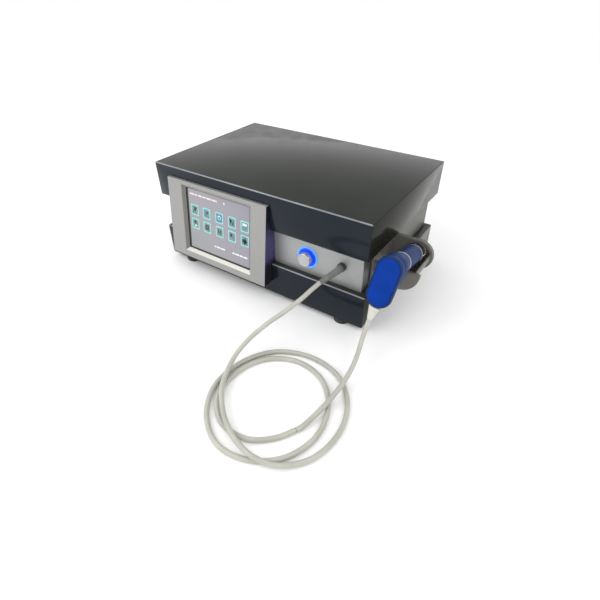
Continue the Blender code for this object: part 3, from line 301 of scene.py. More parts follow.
def bezel_side_shade_and_reflection():
    """Painted shade on the bezel's right-hand side: near black, with a band of painted violet reflection at
    the height of the band.
    """
    made = Finish("bezel_side_painted_shade_and_violet_reflection", 0.30, Specular_IOR_Level=0.2)
    split = made.node("ShaderNodeSeparateXYZ")
    made.link(made.place, split.inputs["Vector"])
    height = made.node("ShaderNodeMapRange", From_Min=0.0, From_Max=0.2, To_Min=0.0, To_Max=1.0)
    made.link(split.outputs["Z"], height.inputs["Value"])
    black, violet = (0.012, 0.012, 0.016), (0.062, 0.052, 0.140)
    tones = made.ramp(height.outputs["Result"],
                      [(0.40, black), (0.47, violet), (0.66, violet), (0.84, black)])
    made.link(tones, made.shader.inputs["Base Color"])
    made.polish(60.0, 0.25, 0.35).grain(800.0, 0.000006)
    return made.material


def turned_metal(name, tone, rough, centre):
    """Bright metal with the fine rings that turning leaves round a centre on the console's front."""
    made = Finish(name, rough[0], 1.0)
    made.colour(70.0, tuple(0.94 * c for c in tone), tone).polish(120.0, *rough)
    shift = made.node("ShaderNodeMapping", Location=tuple(-c for c in centre))
    made.link(made.place, shift.inputs["Vector"])
    flat = made.node("ShaderNodeMapping", Scale=(1.0, 0.0, 1.0))
    made.link(shift.outputs["Vector"], flat.inputs["Vector"])
    rings = made.node("ShaderNodeTexWave", Scale=520.0, Distortion=0.6, Detail=1.0)
    rings.wave_type = "RINGS"
    rings.rings_direction = "SPHERICAL"
    made.link(flat.outputs["Vector"], rings.inputs["Vector"])
    made.bump(rings.outputs["Fac"], 0.000006)
    return made.material


GLOSS_BLACK = gloss_cover("cover_gloss_black", (0.0065, 0.0105, 0.0165), (0.0090, 0.0135, 0.0205), 0.20)
# Painted sheen: the covers' top faces take a lighter grey base than the front, which stands in for the
# reflection they show.
GLOSS_TOP_PAINTED_SHEEN = gloss_cover("cover_gloss_top_painted_sheen", (0.0275, 0.0300, 0.0270), (0.0325, 0.0350, 0.0315), 0.07)
# Painted shade: the covers' sides take a dull olive-grey copy of the gloss, matched to how they look in
# shade.
GLOSS_SIDE_PAINTED_SHADE = gloss_cover("cover_gloss_side_painted_shade", (0.0140, 0.0140, 0.0110), (0.0180, 0.0180, 0.0145), 0.10)
# Painted highlight: the rounded front edges take a light grey finish that stands in for the line of light
# they catch.
EDGE_PAINTED_HIGHLIGHT = plastic("cover_front_edge_painted_highlight", (0.16, 0.17, 0.19), (0.24, 0.25, 0.27), (0.14, 0.22),
                      900.0, 0.000004, Specular_IOR_Level=0.6)
BAND_SILVER = metal("band_satin_silver", (0.350, 0.355, 0.357), (0.380, 0.385, 0.387), (0.36, 0.44),
                    (1.0, 30.0, 30.0), 0.000008, 0.55)
BEZEL_SILVER = metal("bezel_satin_silver", (0.285, 0.282, 0.274), (0.312, 0.309, 0.300), (0.38, 0.46),
                     (30.0, 30.0, 1.0), 0.000008, 0.40)
# Painted shade on the window's left slope and a painted highlight on its lower one: darker and lighter copies
# of the bezel's silver.
RECESS_PAINTED_SHADE = metal("bezel_recess_shaded", (0.150, 0.150, 0.140), (0.175, 0.175, 0.164), (0.38, 0.46),
                    (30.0, 30.0, 1.0), 0.000008, 0.30)
RECESS_PAINTED_HIGHLIGHT = metal("bezel_recess_lit", (0.520, 0.510, 0.455), (0.580, 0.570, 0.510), (0.38, 0.46),
                      (1.0, 30.0, 30.0), 0.000008, 0.15)
# Painted shade and a painted violet reflection on the bezel's right-hand side.
BEZEL_SIDE_PAINTED_LIGHT = bezel_side_shade_and_reflection()
# Painted shade: the side and rear panels take a much darker copy of the band's satin silver, for the shade
# under the top cover.
SIDE_SILVER_PAINTED_SHADE = metal("side_satin_silver_painted_shade", (0.130, 0.129, 0.118), (0.155, 0.154, 0.142), (0.40, 0.50),
                    (30.0, 1.0, 30.0), 0.000010, 0.6)
STEEL = metal("zinc_steel", (0.46, 0.47, 0.48), (0.56, 0.57, 0.58), (0.26, 0.38), None, 0.000010)
SCREW_STEEL = metal("screw_black_zinc", (0.16, 0.16, 0.17), (0.22, 0.22, 0.23), (0.24, 0.36))
RUBBER = plastic("foot_rubber_black", (0.014, 0.014, 0.015), (0.022, 0.022, 0.023), (0.66, 0.80),
                 900.0, 0.000030)
DARK_PLASTIC = plastic("moulded_dark_plastic", (0.017, 0.018, 0.020), (0.026, 0.027, 0.030), (0.36, 0.48),
                       1100.0, 0.000018)
TAUPE = plastic("holder_taupe_plastic", (0.112, 0.107, 0.093), (0.136, 0.130, 0.115), (0.36, 0.48),
                1000.0, 0.000020)
# Painted shade: near black for the shadowed inside of the holder's cup.
CUP_PAINTED_SHADE = plastic("holder_cup_painted_shade", (0.006, 0.006, 0.006), (0.010, 0.010, 0.009), (0.50, 0.62),
                    1000.0, 0.000020, Specular_IOR_Level=0.2)
BLUE_CAP = plastic("cap_blue_plastic", (0.0006, 0.030, 0.240), (0.0012, 0.037, 0.280), (0.34, 0.44),
                   900.0, 0.000014, Specular_IOR_Level=0.08)
BLUE_GRIP = plastic("grip_blue_plastic", (0.006, 0.024, 0.095), (0.010, 0.031, 0.118), (0.40, 0.52),
                    1100.0, 0.000022, Specular_IOR_Level=0.16)
PALE_PLASTIC = plastic("relief_pale_plastic", (0.52, 0.51, 0.46), (0.60, 0.59, 0.54), (0.42, 0.54),
                       900.0, 0.000018)
SLEEVE_RUBBER = plastic("sleeve_grey_rubber", (0.115, 0.118, 0.113), (0.145, 0.148, 0.142), (0.50, 0.62),
                        900.0, 0.000024)
CORD_JACKET = plastic("cord_pale_jacket", (0.395, 0.390, 0.340), (0.465, 0.460, 0.405), (0.38, 0.50),
                      700.0, 0.000022)
KNOB_METAL = turned_metal("knob_turned_metal", (0.50, 0.50, 0.51), (0.28, 0.40),
                          CONSOLE @ Vector((KNOB_CENTRE[0], 0.0, KNOB_CENTRE[1])))
RING_BRIGHT = glowing("light_guide_rim", (0.02, 0.23, 0.98), 1.7, (0.03, 0.15, 0.75))
RING_DEEP = glowing("light_guide_floor", (0.0, 0.030, 0.95), 0.75, (0.01, 0.04, 0.55))
SCREEN = screen_image()
# The panel's own black border, which also carries painted shade from the bezel's lip on the left and at the
# bottom.
SCREEN_BORDER_AND_SHADE = plastic("screen_border_and_painted_shade", (0.006, 0.006, 0.007), (0.010, 0.010, 0.011), (0.10, 0.16),
                        700.0, 0.000003)
BOARD = plastic("circuit_board_green", (0.015, 0.125, 0.055), (0.024, 0.175, 0.080), (0.36, 0.48),
                1300.0, 0.000015)
COPPER = metal("copper_winding_wire", (0.50, 0.21, 0.08), (0.64, 0.28, 0.11), (0.28, 0.40), (1.0, 1.0, 14.0))
CERAMIC = plastic("piezo_ceramic_buff", (0.54, 0.47, 0.35), (0.64, 0.57, 0.44), (0.46, 0.58),
                  1500.0, 0.000012)
BRASS = metal("brass_stud", (0.62, 0.43, 0.16), (0.74, 0.53, 0.22), (0.24, 0.34))
FUSE_GLASS = plastic("fuse_glass_clear", (0.66, 0.69, 0.72), (0.76, 0.79, 0.82), (0.05, 0.12),
                     600.0, 0.000003)
WIRE = plastic("wire_red_jacket", (0.28, 0.022, 0.015), (0.38, 0.034, 0.024), (0.40, 0.52), 900.0, 0.000012)

SLOT_FINISH = {
    "gloss_black": GLOSS_BLACK, "brushed_silver": BAND_SILVER, "satin_silver": SIDE_SILVER_PAINTED_SHADE,
    "knob_metal": KNOB_METAL, "screen": SCREEN, "module_case": STEEL, "steel": STEEL,
    "screw_steel": SCREW_STEEL, "dark_plastic": DARK_PLASTIC, "taupe_plastic": TAUPE,
    "blue_cap": BLUE_CAP, "blue_grip": BLUE_GRIP, "pale_plastic": PALE_PLASTIC, "foot_rubber": RUBBER,
    "sleeve_rubber": SLEEVE_RUBBER, "cord_jacket": CORD_JACKET, "light_guide": RING_BRIGHT,
    "circuit_board": BOARD, "copper": COPPER, "ceramic": CERAMIC, "brass": BRASS,
    "fuse_glass": FUSE_GLASS, "wire_jacket": WIRE,
}


# ---------------- mesh helpers
def linked(name, data):
    """A new object in the scene."""
    made = bpy.data.objects.new(name, data)
    bpy.context.scene.collection.objects.link(made)
    return made


def smooth_shaded(mesh, angle):
    """Shades a mesh smooth, apart from edges that are sharper than an angle in degrees."""
    mesh.polygons.foreach_set("use_smooth", [True] * len(mesh.polygons))
    mesh.set_sharp_from_angle(angle=math.radians(angle))


def add_piece(name, mesh, finishes, body, slot, replaced=(), smooth=38.0, weighted=True):
    """Links a mesh that is already in the row frame as a piece on a body."""
    smooth_shaded(mesh, smooth)
    for finish in finishes:
        mesh.materials.append(finish)
    piece = linked(name, mesh)
    if weighted:
        normals = piece.modifiers.new("normals", "WEIGHTED_NORMAL")
        normals.keep_sharp = True
    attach(piece, body)
    if replaced:
        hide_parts(*replaced)
    return piece


def from_bmesh(name, bm, placing, *piece_facts, **options):
    """A piece from a bmesh in the frame that placing stands for. The rest goes to add_piece."""
    bmesh.ops.recalc_face_normals(bm, faces=bm.faces)
    mesh = bpy.data.meshes.new(name)
    bm.to_mesh(mesh)
    bm.free()
    mesh.transform(placing)
    return add_piece(name, mesh, *piece_facts, **options)


def rounded(outline, radius, steps=4, closed=False):
    """An outline of 2-D points whose corners are rounded. An end of an open outline stays as it is."""
    made = []
    count = len(outline)
    for i, point in enumerate(outline):
        if not closed and i in (0, count - 1):
            made.append(point)
            continue
        here = Vector(point)
        before, after = Vector(outline[i - 1]), Vector(outline[(i + 1) % count])
        reach = min(radius, (here - before).length * 0.45, (here - after).length * 0.45)
        start = here + (before - here).normalized() * reach
        end = here + (after - here).normalized() * reach
        for k in range(steps + 1):
            t = k / steps
            made.append(tuple((1 - t) ** 2 * start + 2 * t * (1 - t) * here + t * t * end))
    return made


def circle(count):
    """The angles of evenly spaced points round a circle."""
    return [2 * math.pi * k / count for k in range(count)]


def on_axis(axis, along, a, b):
    """A point from its place along an axis and its two places across it."""
    return {"X": (along, a, b), "Y": (a, along, b), "Z": (a, b, along)}[axis]


def add_turned(bm, profile, centre, axis="Y", sides=64, index=0):
    """Turns a profile of (radius, along) about an axis through centre, given across that axis."""
    rings = []
    for radius, along in profile:
        ring = []
        for k in range(sides if radius > 1e-9 else 1):
            turn = 2 * math.pi * k / sides
            a, b = centre[0] + radius * math.cos(turn), centre[1] + radius * math.sin(turn)
            ring.append(bm.verts.new(on_axis(axis, along, a, b)))
        rings.append(ring)
    for one, two in zip(rings, rings[1:]):
        for k in range(sides if len(one) + len(two) > 2 else 0):
            n = (k + 1) % sides
            corners = [one[k % len(one)], one[n % len(one)], two[n % len(two)], two[k % len(two)]]
            face = bm.faces.new(list(dict.fromkeys(corners)))
            face.material_index = index


def turned(name, profile, centre, axis, placing, finish, body, slot, replaced=(), sides=64, closed=False):
    """A turned piece. A closed profile is a loop, as for a tube's wall."""
    bm = bmesh.new()
    add_turned(bm, profile + profile[:1] if closed else profile, centre, axis, sides)
    if closed:
        bmesh.ops.remove_doubles(bm, verts=bm.verts, dist=1e-7)
    return from_bmesh(name, bm, placing, [finish], body, slot, replaced)


def add_loft(bm, rings, index=0, closed_loop=False):
    """Skins rings of points, with a face on either end unless the last ring leads back to the first."""
    made = [[bm.verts.new(point) for point in ring] for ring in rings]
    pairs = list(zip(made, made[1:]))
    if closed_loop:
        pairs.append((made[-1], made[0]))
    else:
        bm.faces.new(made[0]).material_index = index
        bm.faces.new(made[-1]).material_index = index
    for one, two in pairs:
        for i, corner in enumerate(one):
            j = (i + 1) % len(one)
            bm.faces.new((corner, one[j], two[j], two[i])).material_index = index


def add_plate(bm, outline, front, back, index=0):
    """A thin plate in the display's frame: an outline of (x, v) between two depths."""
    add_loft(bm, [[(x, depth, v) for x, v in outline] for depth in (front, back)], index)


def frames_along(points):
    """A side vector and an upward one for each point of a path, carried along without twisting."""
    side = Vector((1, 0, 0))
    made = []
    for i, point in enumerate(points):
        ahead = (points[min(i + 1, len(points) - 1)] - points[max(i - 1, 0)]).normalized()
        side = (side - ahead * side.dot(ahead)).normalized()
        made.append((point, side, ahead.cross(side)))
    return made


def tube_ring(point, side, other, radius, count):
    """A circle of points round a path's point."""
    return [point + radius * (math.cos(t) * side + math.sin(t) * other) for t in circle(count)]


def smooth_line(route, count):
    """Evenly spaced points on the smooth curve through a route's points, as in the CAD."""
    points = [Vector(point) for point in route]
    spans = [(b - a).length for a, b in zip(points, points[1:])]
    slopes = [(b - a) / span for a, b, span in zip(points, points[1:], spans)]
    tangents = [slopes[0]]
    for i in range(1, len(slopes)):
        tangents.append((slopes[i - 1] * spans[i] + slopes[i] * spans[i - 1]) / (spans[i - 1] + spans[i]))
    tangents.append(slopes[-1])
    fine = [points[0]]
    for i, span in enumerate(spans):
        handles = (points[i] + tangents[i] * span / 3, points[i + 1] - tangents[i + 1] * span / 3)
        fine += interpolate_bezier(points[i], *handles, points[i + 1], 48)[1:]
    travelled = [0.0]
    for a, b in zip(fine, fine[1:]):
        travelled.append(travelled[-1] + (b - a).length)
    line, at = [], 0
    for i in range(count):
        target = travelled[-1] * i / (count - 1)
        while at < len(fine) - 2 and travelled[at + 1] < target:
            at += 1
        part = (target - travelled[at]) / (travelled[at + 1] - travelled[at])
        line.append(fine[at].lerp(fine[at + 1], min(part, 1.0)))
    return line


def refined(node, finishes, width, segments=3, limit=50.0, side=None):
    """A copy of a CAD node's shape with its edges eased, which stands for the node. side, where it is given,
    says from a face's middle and normal which of the finishes the face takes."""
    bm = bmesh.new()
    bm.from_mesh(nodes[node].data)
    bmesh.ops.remove_doubles(bm, verts=bm.verts, dist=1e-6)
    bmesh.ops.dissolve_limit(bm, angle_limit=math.radians(0.8), verts=bm.verts, edges=bm.edges)
    for layers in (bm.loops.layers.float_vector, bm.loops.layers.uv):
        for layer in list(layers):
            layers.remove(layer)
    for face in bm.faces:
        face.material_index = 0
    bmesh.ops.recalc_face_normals(bm, faces=bm.faces)
    if side is not None:
        for face in bm.faces:
            face.material_index = int(side(face.calc_center_median(), face.normal))
    mesh = bpy.data.meshes.new(node + "_shell")
    bm.to_mesh(mesh)
    bm.free()
    slot = nodes[node].data.materials[0].name
    piece = add_piece(node + "_shell", mesh, finishes, nodes[node]["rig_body"], slot, [node],
                      smooth=limit, weighted=False)
    bevel = piece.modifiers.new("eased_edges", "BEVEL")
    bevel.width = width
    bevel.segments = segments
    bevel.limit_method = "ANGLE"
    bevel.angle_limit = math.radians(limit)
    bevel.use_clamp_overlap = False
    bevel.harden_normals = True
    bevel.miter_outer = "MITER_ARC"


# ---------------- cords first, then camera and light
def make_lead():
    """The cord from the outlet's sleeve round its loops on the table."""
    lead_line = [CONSOLE @ point for point in smooth_line(LOOP_ROUTE, 420)]
    curve = bpy.data.curves.new("applicator_lead", "CURVE")
    curve.dimensions = "3D"
    curve.bevel_depth = CORD_RADIUS
    curve.bevel_resolution = 6
    curve.use_fill_caps = True
    spline = curve.splines.new("POLY")
    spline.points.add(len(lead_line) - 1)
    for point, place in zip(spline.points, lead_line):
        point.co = (*place, 1.0)
    curve.materials.append(CORD_JACKET)
    lead = linked("applicator_lead", curve)
    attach(lead, "console")
    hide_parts("applicator_cord")


def make_riser():
    """The rest of the same cord, which rises to the grip."""
    path = [CONSOLE @ point for point in smooth_line(RISER_ROUTE, 110)]
    bm = bmesh.new()
    rings = [tube_ring(point, side, other, CORD_RADIUS, 24) for point, side, other in frames_along(path)]
    add_loft(bm, rings)
    bmesh.ops.recalc_face_normals(bm, faces=bm.faces)
    mesh = bpy.data.meshes.new("applicator_lead_riser")
    bm.to_mesh(mesh)
    bm.free()
    smooth_shaded(mesh, 50.0)
    mesh.materials.append(CORD_JACKET)
    riser = linked("applicator_lead_riser", mesh)
    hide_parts("applicator_cord_riser")
    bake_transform(riser)


def make_camera():
    data = bpy.data.cameras.new("photo_view")
    data.sensor_width = SENSOR_WIDTH
    data.lens = LENS
    data.clip_start, data.clip_end = 0.01, 50.0
    camera = linked("photo_view", data)
    turn = Matrix((CAMERA_RIGHT, -CAMERA_DOWN, -CAMERA_AHEAD)).transposed().to_4x4()
    camera.matrix_world = CONSOLE @ Matrix.Translation(CAMERA_PLACE) @ turn
    bpy.context.scene.camera = camera


def soft_light(name, place, target, side, power):
    """A square area light that looks at a target. Both points are in the console's frame."""
    data = bpy.data.lights.new(name, "AREA")
    data.size = side
    data.energy = power
    light = linked(name, data)
    light.location = CONSOLE @ Vector(place)
    light.rotation_euler = (Vector(target) - Vector(place)).to_track_quat("-Z", "Y").to_euler()


def make_studio():
    world = bpy.data.worlds.new("studio")
    world.use_nodes = True
    background = world.node_tree.nodes["Background"]
    background.inputs["Color"].default_value = (1.0, 1.0, 1.0, 1.0)
    background.inputs["Strength"].default_value = WORLD_STRENGTH
    bpy.context.scene.world = world
    bpy.context.scene.view_settings.view_transform = "Standard"
    for light in LIGHTS:
        soft_light(*light)


def make_floor():
    bm = bmesh.new()
    bmesh.ops.create_grid(bm, x_segments=1, y_segments=1, size=FLOOR_HALF)
    mesh = bpy.data.meshes.new("floor")
    bm.to_mesh(mesh)
    bm.free()
    floor = linked("floor", mesh)
    floor.location.z = -FLOOR_DROP
    surface = Finish("floor_white", 0.6, Specular_IOR_Level=0.2)
    surface.colour(3.0, (0.94, 0.94, 0.94), (0.955, 0.955, 0.955))
    mesh.materials.append(surface.material)


# ---------------- console
# Where each finish stands in the list that its piece is given.
COVER_BODY, COVER_EDGE_HIGHLIGHT, COVER_TOP_SHEEN, COVER_SIDE_SHADE = range(4)
BEZEL_FACE, BEZEL_RIGHT_SIDE_PAINTED_LIGHT, LEFT_SLOPE, LOWER_SLOPE = range(4)


def cover_finish(middle, normal):
    """Picks the cover's finish by the face's normal: a painted highlight on the rounded front edge at the
    top, a painted sheen on the top and painted shade on the sides.
    """
    if normal.y < -0.25 and normal.z > 0.25:
        return COVER_EDGE_HIGHLIGHT
    if normal.z > 0.9:
        return COVER_TOP_SHEEN
    return COVER_SIDE_SHADE if abs(normal.x) > 0.9 else COVER_BODY


def make_covers():
    for node in ("top_cover", "lower_cover"):
        refined(node, [GLOSS_BLACK, EDGE_PAINTED_HIGHLIGHT, GLOSS_TOP_PAINTED_SHEEN, GLOSS_SIDE_PAINTED_SHADE], width=0.0006, side=cover_finish)


def bezel_finish(middle, normal):
    """Painted shade with a painted violet reflection on the right-hand side, painted shade in the window's
    left slope and a painted highlight in its lower one.
    """
    low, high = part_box("display_bezel")
    if normal.x > 0.9 and middle.x > high.x - 0.001:
        return BEZEL_RIGHT_SIDE_PAINTED_LIGHT
    inside = low.x + 0.02 < middle.x < high.x - 0.02 and low.z + 0.01 < middle.z < high.z - 0.01
    if inside and middle.y < high.y - 0.012:
        if normal.x > 0.35:
            return LEFT_SLOPE
        if normal.z > 0.35:
            return LOWER_SLOPE
    return BEZEL_FACE


def cup_shade_finish(middle, normal):
    """Painted shade: the cup's floor and the wall of the hole in it take a near-black finish."""
    _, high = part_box("applicator_holder")
    centre = CONSOLE @ Vector((CUP_CENTRE[0], 0.0, CUP_CENTRE[1]))
    away = math.hypot(middle.x - centre.x, middle.z - centre.z)
    return away < CUP_FLOOR_RADIUS and high.y - CUP_DEPTH < middle.y and normal.y < 0.9


def make_panels():
    refined("front_panel", [BAND_SILVER], width=0.0003)
    for node in ("rear_panel", "side_panel_left", "side_panel_right"):
        refined(node, [SIDE_SILVER_PAINTED_SHADE], width=0.0003)


def make_bezel():
    refined("display_bezel", [BEZEL_SILVER, BEZEL_SIDE_PAINTED_LIGHT, RECESS_PAINTED_SHADE, RECESS_PAINTED_HIGHLIGHT], width=0.0006, segments=4,
            limit=30.0, side=bezel_finish)


def make_holder():
    refined("applicator_holder", [TAUPE, CUP_PAINTED_SHADE], width=0.0008, segments=4, limit=42.0, side=cup_shade_finish)


def screw_head(bm, centre, radius, face, height, axis="Y"):
    """A pan head with a cross recess, standing on a face and looking along an axis."""
    rings, sides = 18, 48
    slot_width, slot_reach, slot_depth = radius * 0.17, radius * 0.62, height * 0.62
    made = []
    for i in range(rings + 1):
        share = i / rings
        away = radius * share
        fall = max(0.0, share - 0.45) / 0.55
        rise = height * math.sqrt(max(0.0, 1 - fall ** 2))
        ring = []
        for k in range(sides if i else 1):
            turn = 2 * math.pi * k / sides
            a, b = away * math.cos(turn), away * math.sin(turn)
            near, far = min(abs(a), abs(b)), max(abs(a), abs(b))
            sink = slot_depth if near < slot_width and far < slot_reach else 0.0
            along = face + (rise - sink)
            ring.append(bm.verts.new(on_axis(axis, along, centre[0] + a, centre[1] + b)))
        made.append(ring)
    for one, two in zip(made, made[1:]):
        for k in range(sides):
            n = (k + 1) % sides
            corners = [one[k % len(one)], one[n % len(one)], two[n], two[k]]
            bm.faces.new(list(dict.fromkeys(corners)))
    bm.faces.new(made[-1])


def make_screws():
    for i, place in enumerate(COVER_SCREWS):
        bm = bmesh.new()
        screw_head(bm, place, 0.0032, CONSOLE_DEPTH + GAP, 0.0020)
        from_bmesh(f"cover_screw_head_{i + 1}", bm, CONSOLE, [SCREW_STEEL], "console", "screw_steel",
                   [f"cover_screw_{i + 1}"])
    for i, place in enumerate(HOLDER_SCREWS):
        bm = bmesh.new()
        screw_head(bm, place, 0.0030, HOLDER_FOOT_FACE + GAP, 0.0018, "X")
        from_bmesh(f"holder_screw_head_{i + 1}", bm, CONSOLE, [SCREW_STEEL], "console", "screw_steel",
                   [f"holder_screw_{i + 1}"])
    bm = bmesh.new()
    for place in REAR_SCREWS:
        screw_head(bm, place, 0.0028, REAR_FACE + GAP, 0.0016)
    for place in FAN_SCREWS:
        screw_head(bm, place, 0.0027, REAR_FACE + FAN_GRILLE_STAND, 0.0015)
    from_bmesh("rear_panel_screw_heads", bm, CONSOLE, [SCREW_STEEL], "console", "screw_steel")


def make_feet():
    """Self-adhesive rubber feet with a shallow ring moulded into the underside."""
    profile = rounded([(0.0, FOOT_TOP), (FOOT_RADIUS, FOOT_TOP), (FOOT_RADIUS, 0.0012),
                       (FOOT_RADIUS - 0.0010, 0.0), (0.0120, 0.0), (0.0115, 0.0006), (0.0075, 0.0006),
                       (0.0070, 0.0), (0.0, 0.0)], 0.0005, 3)
    rows = (FOOT_RADIUS, CONSOLE_DEPTH - FOOT_RADIUS)
    for i, place in enumerate([(x, y) for x in (-FOOT_OFFSET, FOOT_OFFSET) for y in rows]):
        turned(f"foot_pad_{i + 1}", profile, place, "Z", CONSOLE, RUBBER, "console", "foot_rubber",
               [f"foot_{i + 1}"])


# ---------------- screen
# The lit area stops well short of the glass on the left and at the bottom, so the black border there is
# partly painted shade from the bezel's lip.
LIT_LEFT, LIT_RIGHT, LIT_LOW, LIT_HIGH = -0.1545, 0.0005, 0.0228, 0.1466
IMAGE_LEFT, IMAGE_TOP, IMAGE_WIDTH, IMAGE_HEIGHT = -0.1579, 0.1474, 0.1648, 0.1197
ICON_HALF_X, ICON_HALF_V, ICON_OPENING, ICON_REACH = 0.0097, 0.0110, 0.80, 0.76
ICON_COLUMNS = (0.115, 0.305, 0.505, 0.700, 0.890)
ICON_ROWS = (0.350, 0.590)
SYMBOL_FRONT, SYMBOL_BACK, SYMBOL_STEP = GLASS_FRONT - 0.00014, GLASS_FRONT - 0.00002, 0.00002
MINT, DARK, BLUE, ROSE, WHITE, PINK, GROUND = range(7)


def on_image(u, v):
    """A place on the screen's image, from its left and top edges in shares of its width and height."""
    return IMAGE_LEFT + u * IMAGE_WIDTH, IMAGE_TOP - v * IMAGE_HEIGHT


def box_outline(left, right, low, high, radius=0.0):
    outline = [(left, low), (right, low), (right, high), (left, high)]
    return rounded(outline, radius, 3, closed=True) if radius else outline


def disc_outline(centre, radius, sides=20):
    return [(centre[0] + radius * math.cos(t), centre[1] + radius * math.sin(t)) for t in circle(sides)]


def ribbon_outline(points, width):
    """A stroke of one width along 2-D points."""
    left, right = [], []
    for i, point in enumerate(points):
        ahead = Vector(points[min(i + 1, len(points) - 1)]) - Vector(points[max(i - 1, 0)])
        across = Vector((-ahead.y, ahead.x)).normalized() * width / 2
        left.append(tuple(Vector(point) + across))
        right.append(tuple(Vector(point) - across))
    return left + right[::-1]


def icon_marks(which):
    """Plain marks inside an icon, in a square from -1 to 1: (shape, tone, numbers)."""
    wave = [(x / 8 - 0.72, 0.34 * math.sin(x * 0.9)) for x in range(12)]
    lower_wave = [(x, y - 0.42) for x, y in wave]
    return [
        [("box", DARK, (-0.30, 0.35, -0.05, 0.75)),
         ("stroke", DARK, [(-0.7, -0.6), (-0.2, 0.1), (0.1, -0.3), (0.6, 0.6)])],
        [("box", BLUE, (-0.60, -0.15, -0.70, 0.70)),
         ("disc", DARK, (0.28, 0.25, 0.34)),
         ("box", ROSE, (-0.05, 0.12, -0.7, 0.1))],
        [("box", BLUE, (-0.80, 0.80, -0.80, 0.80)),
         ("disc", WHITE, (0.0, 0.05, 0.52)),
         ("disc", BLUE, (0.0, 0.0, 0.34))],
        [("stroke", DARK, [(-0.65, 0.7), (-0.35, -0.6), (-0.1, 0.5)]),
         ("stroke", DARK, [(0.15, -0.7), (0.45, 0.6), (0.7, -0.5)])],
        [("box", WHITE, (-0.70, 0.70, 0.20, 0.75)),
         ("box", BLUE, (-0.45, -0.15, -0.60, 0.05)),
         ("box", BLUE, (0.15, 0.45, -0.60, 0.05))],
        [("disc", DARK, (-0.15, 0.35, 0.42)),
         ("box", ROSE, (-0.45, 0.60, -0.12, 0.10)),
         ("box", WHITE, (-0.3, 0.3, -0.7, -0.3))],
        [("box", DARK, (-0.60, 0.60, -0.55, 0.60)),
         ("disc", ROSE, (0.0, 0.05, 0.26))],
        [("box", DARK, (-0.45, -0.15, -0.40, 0.70)),
         ("box", DARK, (0.25, 0.55, -0.60, 0.50)),
         ("box", ROSE, (-0.05, 0.15, -0.2, 0.3))],
        [("box", DARK, (-0.65, 0.05, -0.10, 0.70)),
         ("box", ROSE, (0.18, 0.62, -0.50, 0.45))],
        [("stroke", DARK, wave), ("stroke", DARK, lower_wave), ("disc", DARK, (0.1, 0.55, 0.2))],
    ][which]


def icon_square(middle, share, radius=0.0):
    """The outline of an icon's square, with its size multiplied by a share."""
    return box_outline(middle[0] - ICON_HALF_X * share, middle[0] + ICON_HALF_X * share,
                       middle[1] - ICON_HALF_V * share, middle[1] + ICON_HALF_V * share, radius)


def add_icon(bm, middle, which):
    """A mint rim round a darker ground, with its marks laid on the ground one over the other."""
    front, back = SYMBOL_FRONT, SYMBOL_BACK
    add_plate(bm, icon_square(middle, ICON_OPENING), front + 2 * SYMBOL_STEP, back, GROUND)
    rims = [icon_square(middle, share, 0.0014) for share in (1.0, ICON_OPENING)]
    rings = [[(x, depth, v) for x, v in rims[side]]
             for side, depth in ((0, back), (0, front), (1, front), (1, back))]
    add_loft(bm, rings, MINT, closed_loop=True)
    reach_x, reach_v = ICON_HALF_X * ICON_REACH, ICON_HALF_V * ICON_REACH
    for order, (shape, tone, numbers) in enumerate(icon_marks(which)):
        if shape == "box":
            left, right, low, high = numbers
            outline = box_outline(left, right, low, high)
        elif shape == "disc":
            outline = disc_outline(numbers[:2], numbers[2])
        else:
            outline = ribbon_outline(numbers, 0.26)
        placed = [(middle[0] + a * reach_x, middle[1] + b * reach_v) for a, b in outline]
        add_plate(bm, placed, front - SYMBOL_STEP * order, front + SYMBOL_STEP, tone)


def add_dashes(bm, start, widths, height, step, index):
    """A row of small bars, standing in for writing."""
    u, v = start
    for width in widths:
        left, middle = on_image(u, v)
        right, _ = on_image(u + width, v)
        add_plate(bm, box_outline(left, right, middle - height / 2, middle + height / 2, height * 0.35),
                  GLASS_FRONT - 0.00012, GLASS_FRONT - 0.00002, index)
        u += width + step


def make_glass():
    """The touch panel: a black border round the lit area, which lies in the same face. The border is the
    panel's own, widened on the left and at the bottom with painted shade from the bezel's lip.
    """
    bm = bmesh.new()
    outline = box_outline(GLASS_LEFT, GLASS_RIGHT, GLASS_LOW, GLASS_HIGH, 0.0012)
    lit = box_outline(LIT_LEFT, LIT_RIGHT, LIT_LOW, LIT_HIGH, 0.0012)
    back = [bm.verts.new((x, GLASS_BACK, v)) for x, v in outline]
    rim = [bm.verts.new((x, GLASS_FRONT, v)) for x, v in outline]
    inner = [bm.verts.new((x, GLASS_FRONT, v)) for x, v in lit]
    bm.faces.new(back)
    bm.faces.new(inner).material_index = 1
    for one, two in ((back, rim), (rim, inner)):
        for i, corner in enumerate(one):
            j = (i + 1) % len(one)
            bm.faces.new((corner, one[j], two[j], two[i]))
    from_bmesh("touch_screen", bm, DISPLAY, [SCREEN_BORDER_AND_SHADE, SCREEN], "console", "screen", ["touch_panel"],
               weighted=False)


